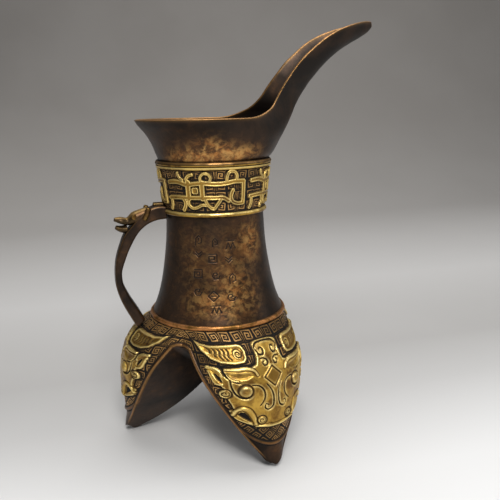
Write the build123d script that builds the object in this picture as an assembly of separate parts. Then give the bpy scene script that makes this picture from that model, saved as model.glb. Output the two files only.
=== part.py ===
from build123d import *
import functools
import math
import os

# A cast bronze pitcher on three hollow pointed legs, with a channel spout, a strap handle and gilt relief.
# Lengths are in millimetres and angles in degrees. The vessel's axis is upright and the spout points to +X.

# Heights above the ground
SHOULDER_Z = 75.0
FRIEZE_LOW_Z = 136.0
FRIEZE_HIGH_Z = 162.8
RIM_Z = 186.3
SPOUT_TIP_Z = 238.3

# Radii and reaches from the vessel's axis
SHOULDER_R = 38.5
WAIST_R = 27.7
FRIEZE_LOW_R = 28.2
FRIEZE_HIGH_R = 31.5
RIM_BACK_R = 44.0
RIM_SIDE_R = 40.5
SPOUT_REACH = 96.0
FOOT_REACH = 58.8

# Walls, seats and relief heights
WALL = 2.6
LAP_WALL = 1.3
LAP_DEPTH = 4.0
BEAD_HEIGHT = 2.8
BEAD_REACH = 1.9
BEAD_LAND = 1.4
BEAD_BEVEL = 0.8
RELIEF = 1.8
LOW_RELIEF = 1.2
DIAMOND_RELIEF = 0.7
OVERRUN = 30.0

# The legs stand this far round from the line of spout and handle
LEG_COUNT = 3
LEG_TURN = -13.0
LEG_PITCH = 360.0 / LEG_COUNT
LEG_NAMES = ("right", "left", "back")
FIRST_LEG = -60.0

# Each leg is a tapering bag with round sections. From the shoulder down, a section has a height, a centre and a
# radius, as shares of the shoulder's height, of the foot's reach and of the shoulder's radius
LOBE_SHARES = (
    (1.0, 0.0, 1.0),
    (0.9627, 0.1241, 0.9143),
    (0.9147, 0.2109, 0.8857),
    (0.86, 0.2721, 0.8831),
    (0.7933, 0.3163, 0.8961),
    (0.7133, 0.3571, 0.8961),
    (0.6, 0.4337, 0.826),
    (0.4907, 0.5187, 0.7169),
    (0.372, 0.6122, 0.5792),
    (0.2687, 0.6837, 0.4597),
    (0.16, 0.7738, 0.3143),
    (0.0667, 0.8588, 0.213),
    (0.0, 0.9014, 0.1584),
)
FOOT_SOLID_Z = 13.0

# The arch between two legs: an inverted V with a round top, run out along a rising line
CROTCH_Z = 34.0
ARCH_RISE = 0.786
ARCH_TOP_R = 7.0
ARCH_TOP_ANGLE = 50.0
ARCH_BULGE = 2.4
SOLE_INNER_REACH = 53.5
ARCH_BEAD_WIDTH = 2.4
ARCH_BEAD_LOW_Z = 3.0

# The bead above each foot slopes up to both sides
FOOT_BEAD_Z = 15.2
FOOT_BEAD_SLOPE = 33.0
FOOT_BEAD_WIDTH = 1.8

# The mask on each leg, across and up
MASK_HALF_WIDTH = 29.5
MASK_LOW_Z = 25.5
MASK_HIGH_Z = 71.0
EYE_OFFSET = 14.0
EYE_Z = 47.0
EYE_R = 3.7
EYE_TOP_R = 2.3
EYE_OUT = 2.0
DIAMOND_Z = 53.3
DIAMOND_HALF_WIDTH = 5.4
DIAMOND_HALF_HEIGHT = 6.2
BROW_INNER = 9.8
BROW_TIP = 31.6
BROW_LOW_Z = 62.2
BROW_HIGH_Z = 71.6
BROW_TIP_Z = 70.2
BROW_CORNER_R = 2.2

# The frieze's dragons, four round the band
DRAGON_COUNT = 4
DRAGON_PITCH = 360.0 / DRAGON_COUNT
DRAGON_FIRST = -112.5
DRAGON_BAR = 2.4
DRAGON_FINE_BAR = 1.7
DRAGON_EYE = 4.4

# The handle, in the upright plane opposite the spout
HANDLE_REACH = 58.6
HANDLE_WIDTH = 9.6
HANDLE_ARM_Z = 138.0
HANDLE_LOW_Z = 72.0
HEAD_WIDTH = 8.4
HEAD_EYE_R = 1.4
HEAD_EYE_OUT = 0.9
EAR_R = 1.5
MANE_R = 1.5


def turned(shape, angle):
    """The shape turned about the vessel's axis."""
    return Rot(0, 0, angle) * shape


def leg_angle(index):
    return FIRST_LEG + LEG_TURN + LEG_PITCH * index


def radius_at(z):
    """The frieze's ground is a cone that opens upwards."""
    rise = (z - FRIEZE_LOW_Z) / (FRIEZE_HIGH_Z - FRIEZE_LOW_Z)
    return FRIEZE_LOW_R + (FRIEZE_HIGH_R - FRIEZE_LOW_R) * rise


def spun(points):
    """A ring or tube from its half section, given as radius and height."""
    outline = Polyline([(r, 0, z) for r, z in points], close=True)
    return revolve(make_face(outline), Axis.Z)


def bead(seat_r, low_z, high_z, reach):
    """A ring with bevelled edges on a cylindrical seat."""
    low_bevel_z, high_bevel_z = low_z + BEAD_BEVEL, high_z - BEAD_BEVEL
    side_r, outer_r = seat_r + reach - BEAD_BEVEL, seat_r + reach
    return spun([(seat_r, low_z), (side_r, low_z), (outer_r, low_bevel_z), (outer_r, high_bevel_z),
                 (side_r, high_z), (seat_r, high_z)])


# Legs. Everything in this part is drawn on one leg that points along +X, then turned to its place


@functools.cache
def lobe(grow):
    """One leg's bag before the arches cut it, its skin moved outwards by grow."""
    rings = []
    for height_share, centre_share, radius_share in LOBE_SHARES:
        place = Plane((centre_share * FOOT_REACH, 0, height_share * SHOULDER_Z))
        rings.append(place * Circle(radius_share * SHOULDER_R + grow))
    return loft(rings)


def foot_edge():
    """Where the leg's inner ridge meets the ground, across and up in the arch's own plane."""
    half = math.radians(LEG_PITCH / 2)
    return SOLE_INNER_REACH * math.sin(half), -ARCH_RISE * SOLE_INNER_REACH * math.cos(half)


def arch_outline(grow):
    """The inverted V with a round top and slightly bulging sides, moved outwards by grow."""
    steep = math.radians(ARCH_TOP_ANGLE)
    top_r = ARCH_TOP_R + grow
    centre_z = CROTCH_Z - ARCH_TOP_R
    shoulder = (top_r * math.sin(steep), centre_z + top_r * math.cos(steep))
    foot_u, foot_z = foot_edge()
    slope = math.atan2(shoulder[1] - foot_z, foot_u - shoulder[0])
    foot = (foot_u + grow * math.sin(slope), foot_z + grow * math.cos(slope))
    middle = (
        (shoulder[0] + foot[0]) / 2 - ARCH_BULGE * math.sin(slope),
        (shoulder[1] + foot[1]) / 2 - ARCH_BULGE * math.cos(slope),
    )
    low = (foot[0] + OVERRUN, foot[1] - OVERRUN)
    right = ThreePointArc(shoulder, middle, foot) + Line(foot, low)
    top = ThreePointArc((-shoulder[0], shoulder[1]), (0, centre_z + top_r), shoulder)
    base = Line(low, (-low[0], low[1]))
    return make_face(top + right + base + mirror(right, Plane.YZ))


@functools.cache
def arch(side, grow):
    """The space under the arch on one side of the leg, run out along its rising line."""
    angle = math.radians(side * LEG_PITCH / 2)
    out = Vector(math.cos(angle), math.sin(angle), 0)
    across = Vector(-math.sin(angle), math.cos(angle), 0)
    face = Plane(origin=(0, 0, 0), x_dir=across, z_dir=out) * arch_outline(grow)
    run = Vector(out.X, out.Y, ARCH_RISE)
    start = face.moved(Location(-run * SHOULDER_R))
    return extrude(start, amount=(SHOULDER_R + FOOT_REACH + OVERRUN) * run.length, dir=run.normalized())


@functools.cache
def wedge():
    """The third of the plan that one leg fills."""
    reach = 2 * FOOT_REACH
    half = math.radians(LEG_PITCH / 2)
    corner = (reach * math.cos(half), reach * math.sin(half))
    outline = Polyline([(0, 0), (corner[0], -corner[1]), (2 * reach, 0), corner], close=True)
    return extrude(make_face(outline), amount=SHOULDER_Z)


@functools.cache
def outer_room():
    """The part of the wedge that the ornament lies in, outside the line of the bag's centres."""
    far = 2 * FOOT_REACH
    foot_centre = LOBE_SHARES[-1][1] * FOOT_REACH
    outline = Polyline([(0, 0, SHOULDER_Z), (foot_centre, 0, 0), (far, 0, 0), (far, 0, SHOULDER_Z)], close=True)
    return extrude(make_face(outline), amount=far, both=True) & wedge()


def relief(region, low_grow, high_grow):
    """A skin of even height on the leg's outer face, inside a region."""
    return (region & outer_room() & lobe(high_grow)) - lobe(low_grow)


def leg():
    """A hollow bag with a solid foot, cut by the arches on both sides."""
    bag = lobe(0) & wedge()
    above_foot = Pos(0, 0, FOOT_SOLID_Z + SHOULDER_Z) * Box(4 * FOOT_REACH, 4 * FOOT_REACH, 2 * SHOULDER_Z)
    room = lobe(-WALL) & above_foot
    for side in (-1, 1):
        bag -= arch(side, 0)
        room -= arch(side, WALL)
    return bag - room


def arch_bead():
    """The raised border over the arch that follows the leg, on the two legs that share it."""
    border = arch(1, ARCH_BEAD_WIDTH) - arch(1, 0)
    side_room = Pos(FOOT_REACH, FOOT_REACH, ARCH_BEAD_LOW_Z + SHOULDER_Z / 2) * Box(
        2 * FOOT_REACH, 2 * FOOT_REACH, SHOULDER_Z
    )
    half = relief(border & side_room, 0, LOW_RELIEF)
    angle = math.radians(LEG_PITCH / 2)
    valley = Plane(origin=(0, 0, 0), z_dir=(-math.sin(angle), math.cos(angle), 0))
    return half + mirror(half, valley)


def foot_bead():
    """The sloping ring between the ornament and the plain foot."""
    slab = Box(4 * FOOT_REACH, 4 * FOOT_REACH, FOOT_BEAD_WIDTH)
    slab = Pos(FOOT_REACH, 0, FOOT_BEAD_Z) * Rot(0, FOOT_BEAD_SLOPE, 0) * slab
    return relief(clear_of_borders(slab), 0, LOW_RELIEF)


def clear_of_borders(region):
    return region - arch(-1, ARCH_BEAD_WIDTH) - arch(1, ARCH_BEAD_WIDTH)


# Masks


def seen_from_outside(face):
    """A block with an outline drawn across and up, as the leg is seen from outside."""
    front = Plane(origin=(0, 0, 0), x_dir=(0, 1, 0), z_dir=(1, 0, 0))
    return extrude(front * face, amount=2 * FOOT_REACH)


def stamped(face, low_grow, high_grow):
    """A relief plate of that outline, standing on the leg's face."""
    return relief(clear_of_borders(seen_from_outside(face)), low_grow, high_grow)


# The mask's right half from the top of the forehead down to the chin: across, as shares of its half width,
# and up, as shares of its height
MASK_HALF_SHARES = (
    (0.142, 1.000),
    (0.254, 0.965),
    (0.244, 0.811),
    (0.366, 0.734),
    (0.773, 0.741),
    (1.000, 0.745),
    (0.922, 0.560),
    (0.868, 0.503),
    (0.861, 0.393),
    (0.780, 0.367),
    (0.708, 0.244),
    (0.759, 0.213),
    (0.624, 0.103),
    (0.353, 0.024),
    (0.136, 0.009),
)


def mask_point(across_share, up_share):
    return across_share * MASK_HALF_WIDTH, MASK_LOW_Z + up_share * (MASK_HIGH_Z - MASK_LOW_Z)


def mask():
    """The beast's face: forehead, brows with leaf shaped ends, cheeks and lips."""
    half = [mask_point(across, up) for across, up in MASK_HALF_SHARES]
    whole = half + [(-across, z) for across, z in reversed(half)]
    return stamped(make_face(Polyline(whole, close=True)), 0, RELIEF)


def diamond():
    outline = Polyline(
        [
            (0, DIAMOND_Z + DIAMOND_HALF_HEIGHT),
            (DIAMOND_HALF_WIDTH, DIAMOND_Z),
            (0, DIAMOND_Z - DIAMOND_HALF_HEIGHT),
            (-DIAMOND_HALF_WIDTH, DIAMOND_Z),
        ],
        close=True,
    )
    return stamped(make_face(outline), RELIEF, RELIEF + DIAMOND_RELIEF)


def lobe_at(height_share):
    """The bag's centre and radius at a height between the sections listed."""
    for upper, lower in zip(LOBE_SHARES, LOBE_SHARES[1:]):
        if upper[0] >= height_share >= lower[0]:
            part = (height_share - lower[0]) / (upper[0] - lower[0])
            centre, radius = (low + (high - low) * part for high, low in zip(upper[1:], lower[1:]))
            return centre * FOOT_REACH, radius * SHOULDER_R
    raise ValueError("the height is outside the leg")


def eye(side):
    """A boss with sloping sides that stands on the mask."""
    centre, radius = lobe_at(EYE_Z / SHOULDER_Z)
    seat_r = radius + RELIEF
    turn = math.asin(EYE_OFFSET / seat_r)
    x = centre + seat_r * math.cos(turn)
    facing = Vector(math.cos(turn), side * math.sin(turn), 0)
    boss = Plane(origin=(x, side * EYE_OFFSET, EYE_Z), z_dir=facing) * Cone(EYE_R, EYE_TOP_R, 2 * EYE_OUT)
    return boss - lobe(RELIEF)


def brow(side):
    """The tusk shaped plaque above one side of the mask, square inside and pointed at the valley."""
    middle = (BROW_TIP + BROW_INNER) / 2
    top = Spline((BROW_TIP, BROW_TIP_Z), (middle, BROW_HIGH_Z), (BROW_INNER, BROW_HIGH_Z))
    inner = Line((BROW_INNER, BROW_HIGH_Z), (BROW_INNER, BROW_LOW_Z))
    belly = ThreePointArc((BROW_INNER, BROW_LOW_Z), (middle, BROW_LOW_Z), (BROW_TIP, BROW_TIP_Z))
    face = make_face(top + inner + belly)
    corners = [v for v in face.vertices() if v.X < middle]
    face = fillet(corners, BROW_CORNER_R)
    if side < 0:
        face = mirror(face, Plane.YZ)
    return stamped(face, 0, LOW_RELIEF)


# Neck, frieze band and mouth

# The neck's side from the shoulder up, as shares of its height and of its drop from shoulder to waist
NECK_SHARES = ((0.0, 1.0), (0.16, 0.66), (0.28, 0.48), (0.51, 0.235), (0.69, 0.105), (1.0, 0.0))


def neck():
    foot_r = SHOULDER_R - BEAD_LAND / 2
    low_z = SHOULDER_Z + BEAD_HEIGHT
    high_z = FRIEZE_LOW_Z - BEAD_HEIGHT / 2
    span, drop = high_z - low_z, foot_r - WAIST_R

    def side(inwards):
        points = [(WAIST_R + r * drop - inwards, 0, low_z + z * span) for z, r in NECK_SHARES]
        return Spline(*points)

    def section(inwards, bottom_z, top_z):
        curve = side(inwards)
        start, end = curve @ 0, curve @ 1
        rest = Polyline([(end.X, 0, end.Z), (end.X, 0, top_z), (0, 0, top_z), (0, 0, bottom_z),
                         (start.X, 0, bottom_z), (start.X, 0, start.Z)])
        return revolve(make_face(curve + rest), Axis.Z)

    outside = section(0, SHOULDER_Z, FRIEZE_LOW_Z)
    inside = section(WALL, SHOULDER_Z - LAP_DEPTH - OVERRUN, FRIEZE_LOW_Z + OVERRUN)
    skirt_r = SHOULDER_R - WALL
    skirt = spun([(skirt_r - LAP_WALL, SHOULDER_Z - LAP_DEPTH), (skirt_r, SHOULDER_Z - LAP_DEPTH),
                  (skirt_r, low_z), (skirt_r - LAP_WALL, low_z)])
    rebate_r = WAIST_R - LAP_WALL
    rebate = spun([(0, FRIEZE_LOW_Z - LAP_DEPTH), (rebate_r, FRIEZE_LOW_Z - LAP_DEPTH),
                   (rebate_r, FRIEZE_LOW_Z + OVERRUN), (0, FRIEZE_LOW_Z + OVERRUN)])
    return outside - inside - rebate + skirt


def frieze_band():
    low_land = FRIEZE_LOW_Z + BEAD_HEIGHT / 2
    high_land = FRIEZE_HIGH_Z - BEAD_HEIGHT / 2
    skirt_r = WAIST_R - LAP_WALL
    bore_low = WAIST_R - WALL
    bore_high = top_seat_r() - WALL
    rebate_r = bore_high + LAP_WALL
    return spun(
        [
            (bore_low, FRIEZE_LOW_Z - LAP_DEPTH),
            (skirt_r, FRIEZE_LOW_Z - LAP_DEPTH),
            (skirt_r, FRIEZE_LOW_Z),
            (WAIST_R, FRIEZE_LOW_Z),
            (WAIST_R, low_land),
            (radius_at(low_land), low_land),
            (radius_at(high_land), high_land),
            (top_seat_r(), high_land),
            (top_seat_r(), FRIEZE_HIGH_Z),
            (rebate_r, FRIEZE_HIGH_Z),
            (rebate_r, FRIEZE_HIGH_Z - LAP_DEPTH),
            (bore_high, FRIEZE_HIGH_Z - LAP_DEPTH),
        ]
    )


def top_seat_r():
    """The seat of the upper bead, a little inside the frieze's ground."""
    return FRIEZE_HIGH_R - BEAD_LAND / 2


# The mouth and spout are one bent horn, cut open along its top. Its sections, from the frieze up, have a front
# point on the spout's underside, a back point, a half width and a pinch that narrows the front.
# Front and back points are across, as shares of the spout's reach, and up, as shares of the height from the
# frieze to the tip; half widths are shares of the rim's half width
HORN_SHARES = (
    (0.354, 0.060, -0.333, 0.060, 0.795, 0.00),
    (0.389, 0.135, -0.355, 0.135, 0.837, 0.03),
    (0.425, 0.209, -0.388, 0.209, 0.899, 0.09),
    (0.457, 0.275, -0.436, 0.287, 0.960, 0.22),
    (0.485, 0.335, -0.462, 0.377, 0.983, 0.38),
    (0.500, 0.371, -0.435, 0.464, 0.948, 0.50),
    (0.517, 0.408, -0.350, 0.563, 0.852, 0.58),
    (0.534, 0.446, -0.208, 0.656, 0.723, 0.57),
    (0.554, 0.485, -0.050, 0.734, 0.598, 0.48),
    (0.575, 0.523, 0.090, 0.798, 0.504, 0.38),
    (0.597, 0.562, 0.209, 0.846, 0.442, 0.28),
    (0.649, 0.638, 0.377, 0.939, 0.405, 0.13),
    (0.708, 0.713, 0.495, 1.014, 0.407, 0.05),
    (0.774, 0.780, 0.601, 1.062, 0.405, 0.00),
    (0.844, 0.834, 0.706, 1.084, 0.368, 0.00),
    (0.912, 0.879, 0.808, 1.093, 0.294, 0.00),
    (0.964, 0.918, 0.895, 1.082, 0.198, 0.00),
    (0.996, 0.956, 0.964, 1.048, 0.084, 0.00),
)
RING_POINTS = 12

# The rim seen from the side: across, as shares of the spout's reach, and up, as shares of the rise from the
# rim to the tip
RIM_SHARES = (
    (0.105, 0.000),
    (0.180, 0.015),
    (0.250, 0.062),
    (0.297, 0.115),
    (0.344, 0.215),
    (0.385, 0.327),
    (0.438, 0.456),
    (0.500, 0.590),
    (0.563, 0.692),
    (0.635, 0.796),
    (0.713, 0.875),
    (0.792, 0.931),
    (0.875, 0.972),
    (0.950, 0.995),
    (1.040, 1.000),
)


def horn_section(shares, inwards):
    """A closed oval from the front point to the back point, narrowed in front by the pinch."""
    front_x, front_z, back_x, back_z, width, pinch = shares
    rise = SPOUT_TIP_Z - FRIEZE_HIGH_Z
    front = Vector(front_x * SPOUT_REACH, 0, FRIEZE_HIGH_Z + front_z * rise)
    back = Vector(back_x * SPOUT_REACH, 0, FRIEZE_HIGH_Z + back_z * rise)
    middle, along = (front + back) * 0.5, (front - back).normalized()
    depth = (front - back).length / 2 - inwards
    half_width = width * RIM_SIDE_R - inwards
    steps = [step / RING_POINTS for step in range(RING_POINTS + 1)]
    points = []
    for step in steps[:-1]:
        angle = 2 * math.pi * step
        across = half_width * math.sin(angle) * (1 - pinch * math.cos(angle))
        points.append(middle + along * (depth * math.cos(angle)) + Vector(0, across, 0))
    return make_face(Edge.make_spline(points, periodic=True, parameters=steps))


def horn(seat_z, inwards):
    """The solid horn, its skin moved inwards, with its rounded tip as a short piece of its own."""
    base = Pos(0, 0, seat_z) * Circle(top_seat_r() - inwards)
    rings = [horn_section(row, inwards) for row in HORN_SHARES]
    return loft([base] + rings[:-1]) + loft(rings[-2:])


def mouth_and_spout():
    seat_z = FRIEZE_HIGH_Z + BEAD_HEIGHT / 2
    bore = top_seat_r() - WALL
    outside = horn(seat_z, 0)
    land = Pos(0, 0, (FRIEZE_HIGH_Z + seat_z) / 2) * Cylinder(top_seat_r(), seat_z - FRIEZE_HIGH_Z)
    skirt = Pos(0, 0, FRIEZE_HIGH_Z - LAP_DEPTH / 2) * Cylinder(bore + LAP_WALL, LAP_DEPTH)
    inside = horn(seat_z, WALL)
    pipe = Pos(0, 0, seat_z - OVERRUN / 2) * Cylinder(bore, OVERRUN)
    body = outside + land + skirt - inside - pipe
    return body - above_rim()


def above_rim():
    """Everything above the rim as it is seen from the side."""
    rise = SPOUT_TIP_Z - RIM_Z
    points = [(x * SPOUT_REACH, 0, RIM_Z + z * rise) for x, z in RIM_SHARES]
    curve = Spline(*points, tangents=((1, 0, 0), (1, 0, 0)))
    far, top = SPOUT_REACH + OVERRUN, SPOUT_TIP_Z + OVERRUN
    rest = Polyline([points[-1], (far, 0, points[-1][2]), (far, 0, top), (-far, 0, top), (-far, 0, RIM_Z), points[0]])
    face = make_face(curve + rest)
    return extrude(face, amount=2 * RIM_BACK_R, both=True)


# Each bar of a dragon, as its start and end round the band, as shares of half the dragon's pitch, and its
# start and end up the band, as shares of the band's height; a zero span takes the bar's own width
DRAGON_SHARES = (
    ("rail", -0.88, 0.89, 0.62, 0.62),
    ("hook drop", 0.89, 0.89, 0.22, 0.68),
    ("hook foot", 0.57, 0.89, 0.24, 0.24),
    ("hook rise", 0.59, 0.59, 0.24, 0.52),
    ("jaw", -0.90, 0.54, 0.34, 0.34),
    ("head back", -0.36, -0.36, 0.34, 0.62),
    ("head front", -0.04, -0.04, 0.34, 0.62),
    ("first claw", -0.90, -0.90, 0.11, 0.34),
    ("second claw", -0.51, -0.51, 0.11, 0.34),
    ("third claw", -0.30, -0.30, 0.13, 0.34),
    ("fourth claw", 0.18, 0.18, 0.12, 0.34),
    ("foot", -0.30, 0.00, 0.14, 0.14),
    ("first horn", -0.56, -0.56, 0.62, 0.84),
    ("second horn", -0.32, -0.32, 0.62, 0.84),
    ("crest back", -0.05, -0.05, 0.62, 0.84),
    ("crest top", -0.05, 0.13, 0.84, 0.84),
    ("crest front", 0.13, 0.13, 0.71, 0.84),
    ("tail back", 0.51, 0.51, 0.62, 0.86),
    ("tail top", 0.51, 0.72, 0.86, 0.86),
    ("tail front", 0.72, 0.72, 0.71, 0.86),
)
DRAGON_FINE = ("crest back", "crest top", "crest front", "tail back", "tail top", "tail front", "foot")
DRAGON_EYE_SHARES = (-0.20, 0.49)


def band_sector(start, end, low_z, high_z, thickness):
    """A patch of relief on the frieze's cone between two angles and two heights."""
    outline = Polyline(
        [
            (radius_at(low_z), 0, low_z),
            (radius_at(low_z) + thickness, 0, low_z),
            (radius_at(high_z) + thickness, 0, high_z),
            (radius_at(high_z), 0, high_z),
        ],
        close=True,
    )
    return turned(revolve(make_face(outline), Axis.Z, revolution_arc=end - start), start)


def band_place(round_share, up_share):
    angle = round_share * DRAGON_PITCH / 2
    return angle, FRIEZE_LOW_Z + up_share * (FRIEZE_HIGH_Z - FRIEZE_LOW_Z)


def frieze_dragon(index):
    body = None
    for name, start, end, low, high in DRAGON_SHARES:
        width = DRAGON_FINE_BAR if name in DRAGON_FINE else DRAGON_BAR
        start_angle, low_z = band_place(start, low)
        end_angle, high_z = band_place(end, high)
        half_z = width / 2
        half_angle = math.degrees(half_z / radius_at((low_z + high_z) / 2))
        bar = band_sector(start_angle - half_angle, end_angle + half_angle, low_z - half_z, high_z + half_z,
                          LOW_RELIEF)
        body = bar if body is None else body + bar
    angle, z = band_place(*DRAGON_EYE_SHARES)
    half_angle = math.degrees(DRAGON_EYE / 2 / radius_at(z))
    eye = band_sector(angle - half_angle, angle + half_angle, z - DRAGON_EYE / 2, z + DRAGON_EYE / 2, LOW_RELIEF)
    place = DRAGON_FIRST + DRAGON_PITCH * index
    return [turned(solid, place) for solid in list(body.solids()) + list(eye.solids())]


# Handle

# The strap's inner edge from the arm down to the leg, and its outer edge from the leg up: inwards from the
# handle's reach, as shares of that reach, and up from its foot, as shares of the height from foot to arm
STRAP_INNER_SHARES = (
    (0.507, 0.905),
    (0.425, 0.897),
    (0.340, 0.870),
    (0.272, 0.825),
    (0.172, 0.700),
    (0.108, 0.575),
    (0.068, 0.465),
    (0.072, 0.385),
    (0.120, 0.270),
    (0.205, 0.130),
    (0.280, 0.000),
)
STRAP_OUTER_SHARES = (
    (0.195, -0.070),
    (0.125, 0.060),
    (0.070, 0.160),
    (0.030, 0.250),
    (0.004, 0.350),
    (0.000, 0.450),
    (0.020, 0.590),
    (0.062, 0.700),
    (0.110, 0.795),
)
# The arm's back, from the throat up to where it runs level into the band
ARM_SHARES = (
    (0.110, 0.795),
    (0.190, 0.875),
    (0.262, 0.945),
    (0.350, 1.000),
    (0.410, 1.020),
    (0.507, 1.020),
)
# The head, from its mane forward over the eye and snout, round the jaw and back under the throat
HEAD_SHARES = (
    (0.345, 1.030),
    (0.260, 0.985),
    (0.215, 0.980),
    (0.150, 0.927),
    (0.070, 0.940),
    (0.015, 0.937),
    (0.015, 0.905),
    (0.085, 0.888),
    (0.030, 0.875),
    (0.015, 0.850),
    (0.050, 0.822),
    (0.110, 0.795),
    (0.210, 0.830),
    (0.330, 0.930),
)
EAR_SHARES = ((0.285, 0.905), (0.345, 1.000))
HEAD_EYE_SHARES = (0.215, 0.935)
MANE_SHARES = ((0.395, 1.024), (0.507, 1.024))


def handle_point(shares):
    inwards, up = shares
    return Vector(-HANDLE_REACH * (1 - inwards), 0, HANDLE_LOW_Z + up * (HANDLE_ARM_Z - HANDLE_LOW_Z))


def slab(outline, width):
    """A flat piece in the handle's plane."""
    return extrude(make_face(outline), amount=width / 2, both=True)


def rod(start, end, across, radius):
    """A rod in an upright plane beside the handle's own."""
    low, high = handle_point(start) + Vector(0, across, 0), handle_point(end) + Vector(0, across, 0)
    way = high - low
    return Plane(origin=(low + high) * 0.5, z_dir=way.normalized()) * Cylinder(radius, way.length)


def wall_behind_handle():
    """What the arm butts against: the band, the neck below it and the bead between them."""
    land = FRIEZE_LOW_Z + BEAD_HEIGHT / 2
    band = spun([(0, land), (radius_at(land), land), (radius_at(FRIEZE_HIGH_Z), FRIEZE_HIGH_Z), (0, FRIEZE_HIGH_Z)])
    neck_top = spun([(0, SHOULDER_Z), (WAIST_R, SHOULDER_Z), (WAIST_R, land), (0, land)])
    return band + neck_top + frieze_low_bead()


@functools.cache
def handle_strap():
    """One casting: the strap from the leg up, and the arm that runs into the band."""
    root = Vector(-WAIST_R + WALL, 0, 0)
    inner = [handle_point(row) for row in STRAP_INNER_SHARES]
    outer = [handle_point(row) for row in STRAP_OUTER_SHARES]
    arm = [handle_point(row) for row in ARM_SHARES]
    high = Vector(root.X, 0, arm[-1].Z)
    low = Vector(root.X, 0, inner[0].Z)
    outline = Spline(*inner) + Line(inner[-1], outer[0]) + Spline(*outer) + Spline(*arm)
    outline += Polyline([arm[-1], high, low, inner[0]])
    strap = slab(outline, HANDLE_WIDTH)
    back = leg_angle(LEG_NAMES.index("back"))
    return strap - wall_behind_handle() - turned(lobe(0), back) - turned(brow(1), back) - turned(brow(-1), back)


@functools.cache
def dragon_head():
    points = [handle_point(row) for row in HEAD_SHARES]
    return slab(Polyline(points, close=True), HEAD_WIDTH) - handle_strap()


def dragon_ears():
    across = HANDLE_WIDTH / 2
    ears = [rod(*EAR_SHARES, side * across, EAR_R) - handle_strap() - dragon_head() for side in (-1, 1)]
    return ears


def dragon_eyes():
    place = handle_point(HEAD_EYE_SHARES)
    across = (HEAD_WIDTH + HEAD_EYE_OUT) / 2
    boss = Rot(90, 0, 0) * Cylinder(HEAD_EYE_R, HEAD_EYE_OUT)
    return [Pos(place.X, side * across, place.Z) * boss for side in (-1, 1)]


@functools.cache
def handle_mane():
    """The rolled end of the mane, along the top of the arm."""
    roll = rod(*MANE_SHARES, 0, MANE_R)
    return roll - handle_strap() - wall_behind_handle()


# Beads


def frieze_low_bead():
    return bead(WAIST_R, FRIEZE_LOW_Z - BEAD_HEIGHT / 2, FRIEZE_LOW_Z + BEAD_HEIGHT / 2, BEAD_REACH)


def frieze_high_bead():
    return bead(top_seat_r(), FRIEZE_HIGH_Z - BEAD_HEIGHT / 2, FRIEZE_HIGH_Z + BEAD_HEIGHT / 2, BEAD_REACH)


def shoulder_bead():
    return bead(SHOULDER_R - BEAD_LAND / 2, SHOULDER_Z, SHOULDER_Z + BEAD_HEIGHT, BEAD_REACH)


def pieces():
    """Every piece by name, about the vessel's own axis."""
    found = {
        "neck": neck(),
        "frieze_band": frieze_band(),
        "mouth_and_spout": mouth_and_spout(),
        "shoulder_bead": shoulder_bead(),
        "frieze_low_bead": frieze_low_bead(),
        "frieze_high_bead": frieze_high_bead(),
        "handle_strap": handle_strap(),
        "handle_mane": handle_mane(),
        "dragon_head": dragon_head(),
        "dragon_ears": dragon_ears(),
        "dragon_eyes": dragon_eyes(),
    }
    for index in range(DRAGON_COUNT):
        figure = frieze_dragon(index)
        found[f"frieze_dragon_{index + 1}"] = [solid - handle_strap() - handle_mane() for solid in figure]
    drawn = {
        "leg": leg(),
        "arch_bead": arch_bead(),
        "foot_bead": foot_bead(),
        "mask": mask(),
        "mask_diamond": diamond(),
        "mask_eyes": [eye(-1), eye(1)],
        "brow_outer": brow(1),
        "brow_inner": brow(-1),
    }
    for index, place in enumerate(LEG_NAMES):
        for name, shape in drawn.items():
            whole = shape if isinstance(shape, list) else [shape]
            found[f"{name}_{place}"] = [turned(piece, leg_angle(index)) for piece in whole]
    return found


def solids_of(shape):
    parts = shape if isinstance(shape, list) else [shape]
    return [solid for part in parts for solid in part.solids()]


def main():
    os.makedirs("parts", exist_ok=True)
    found = {name: solids_of(shape) for name, shape in pieces().items()}
    box = Compound([solid for solids in found.values() for solid in solids]).bounding_box()
    home = Pos(-(box.min.X + box.max.X) / 2, -(box.min.Y + box.max.Y) / 2, 0)
    for name, solids in found.items():
        export_step(home * Compound(solids), f"parts/{name}.step")


if __name__ == "__main__":
    main()
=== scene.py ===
import math

import bmesh
import bpy
import numpy as np
from bpy.props import FloatProperty, FloatVectorProperty
from mathutils import Matrix, Vector


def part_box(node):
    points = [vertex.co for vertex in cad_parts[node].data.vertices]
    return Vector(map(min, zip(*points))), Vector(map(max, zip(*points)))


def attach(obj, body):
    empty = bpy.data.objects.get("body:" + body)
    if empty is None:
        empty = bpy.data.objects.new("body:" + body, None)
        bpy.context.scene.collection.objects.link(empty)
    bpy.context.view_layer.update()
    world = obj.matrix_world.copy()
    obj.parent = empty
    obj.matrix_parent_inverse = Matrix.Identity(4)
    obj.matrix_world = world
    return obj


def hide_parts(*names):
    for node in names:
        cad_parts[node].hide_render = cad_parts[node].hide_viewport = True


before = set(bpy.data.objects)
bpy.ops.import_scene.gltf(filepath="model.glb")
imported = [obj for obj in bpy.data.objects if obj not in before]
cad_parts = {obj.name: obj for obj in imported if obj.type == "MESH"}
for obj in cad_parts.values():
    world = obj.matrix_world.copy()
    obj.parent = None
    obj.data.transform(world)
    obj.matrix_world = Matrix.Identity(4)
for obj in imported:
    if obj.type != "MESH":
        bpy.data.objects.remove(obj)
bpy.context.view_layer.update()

bl_info = {
    "name": "Bronze Tripod Ewer",
    "version": (1, 0, 0),
    "blender": (4, 5, 0),
    "location": "View3D > Sidebar > Ewer",
    "description": "Builds a cast bronze tripod pitcher with gilt relief, its stand-in floor and its light",
    "category": "Add Mesh",
}

NECK_LOW, NECK_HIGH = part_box("neck")
MM_PER_METRE = 1000.0
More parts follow.
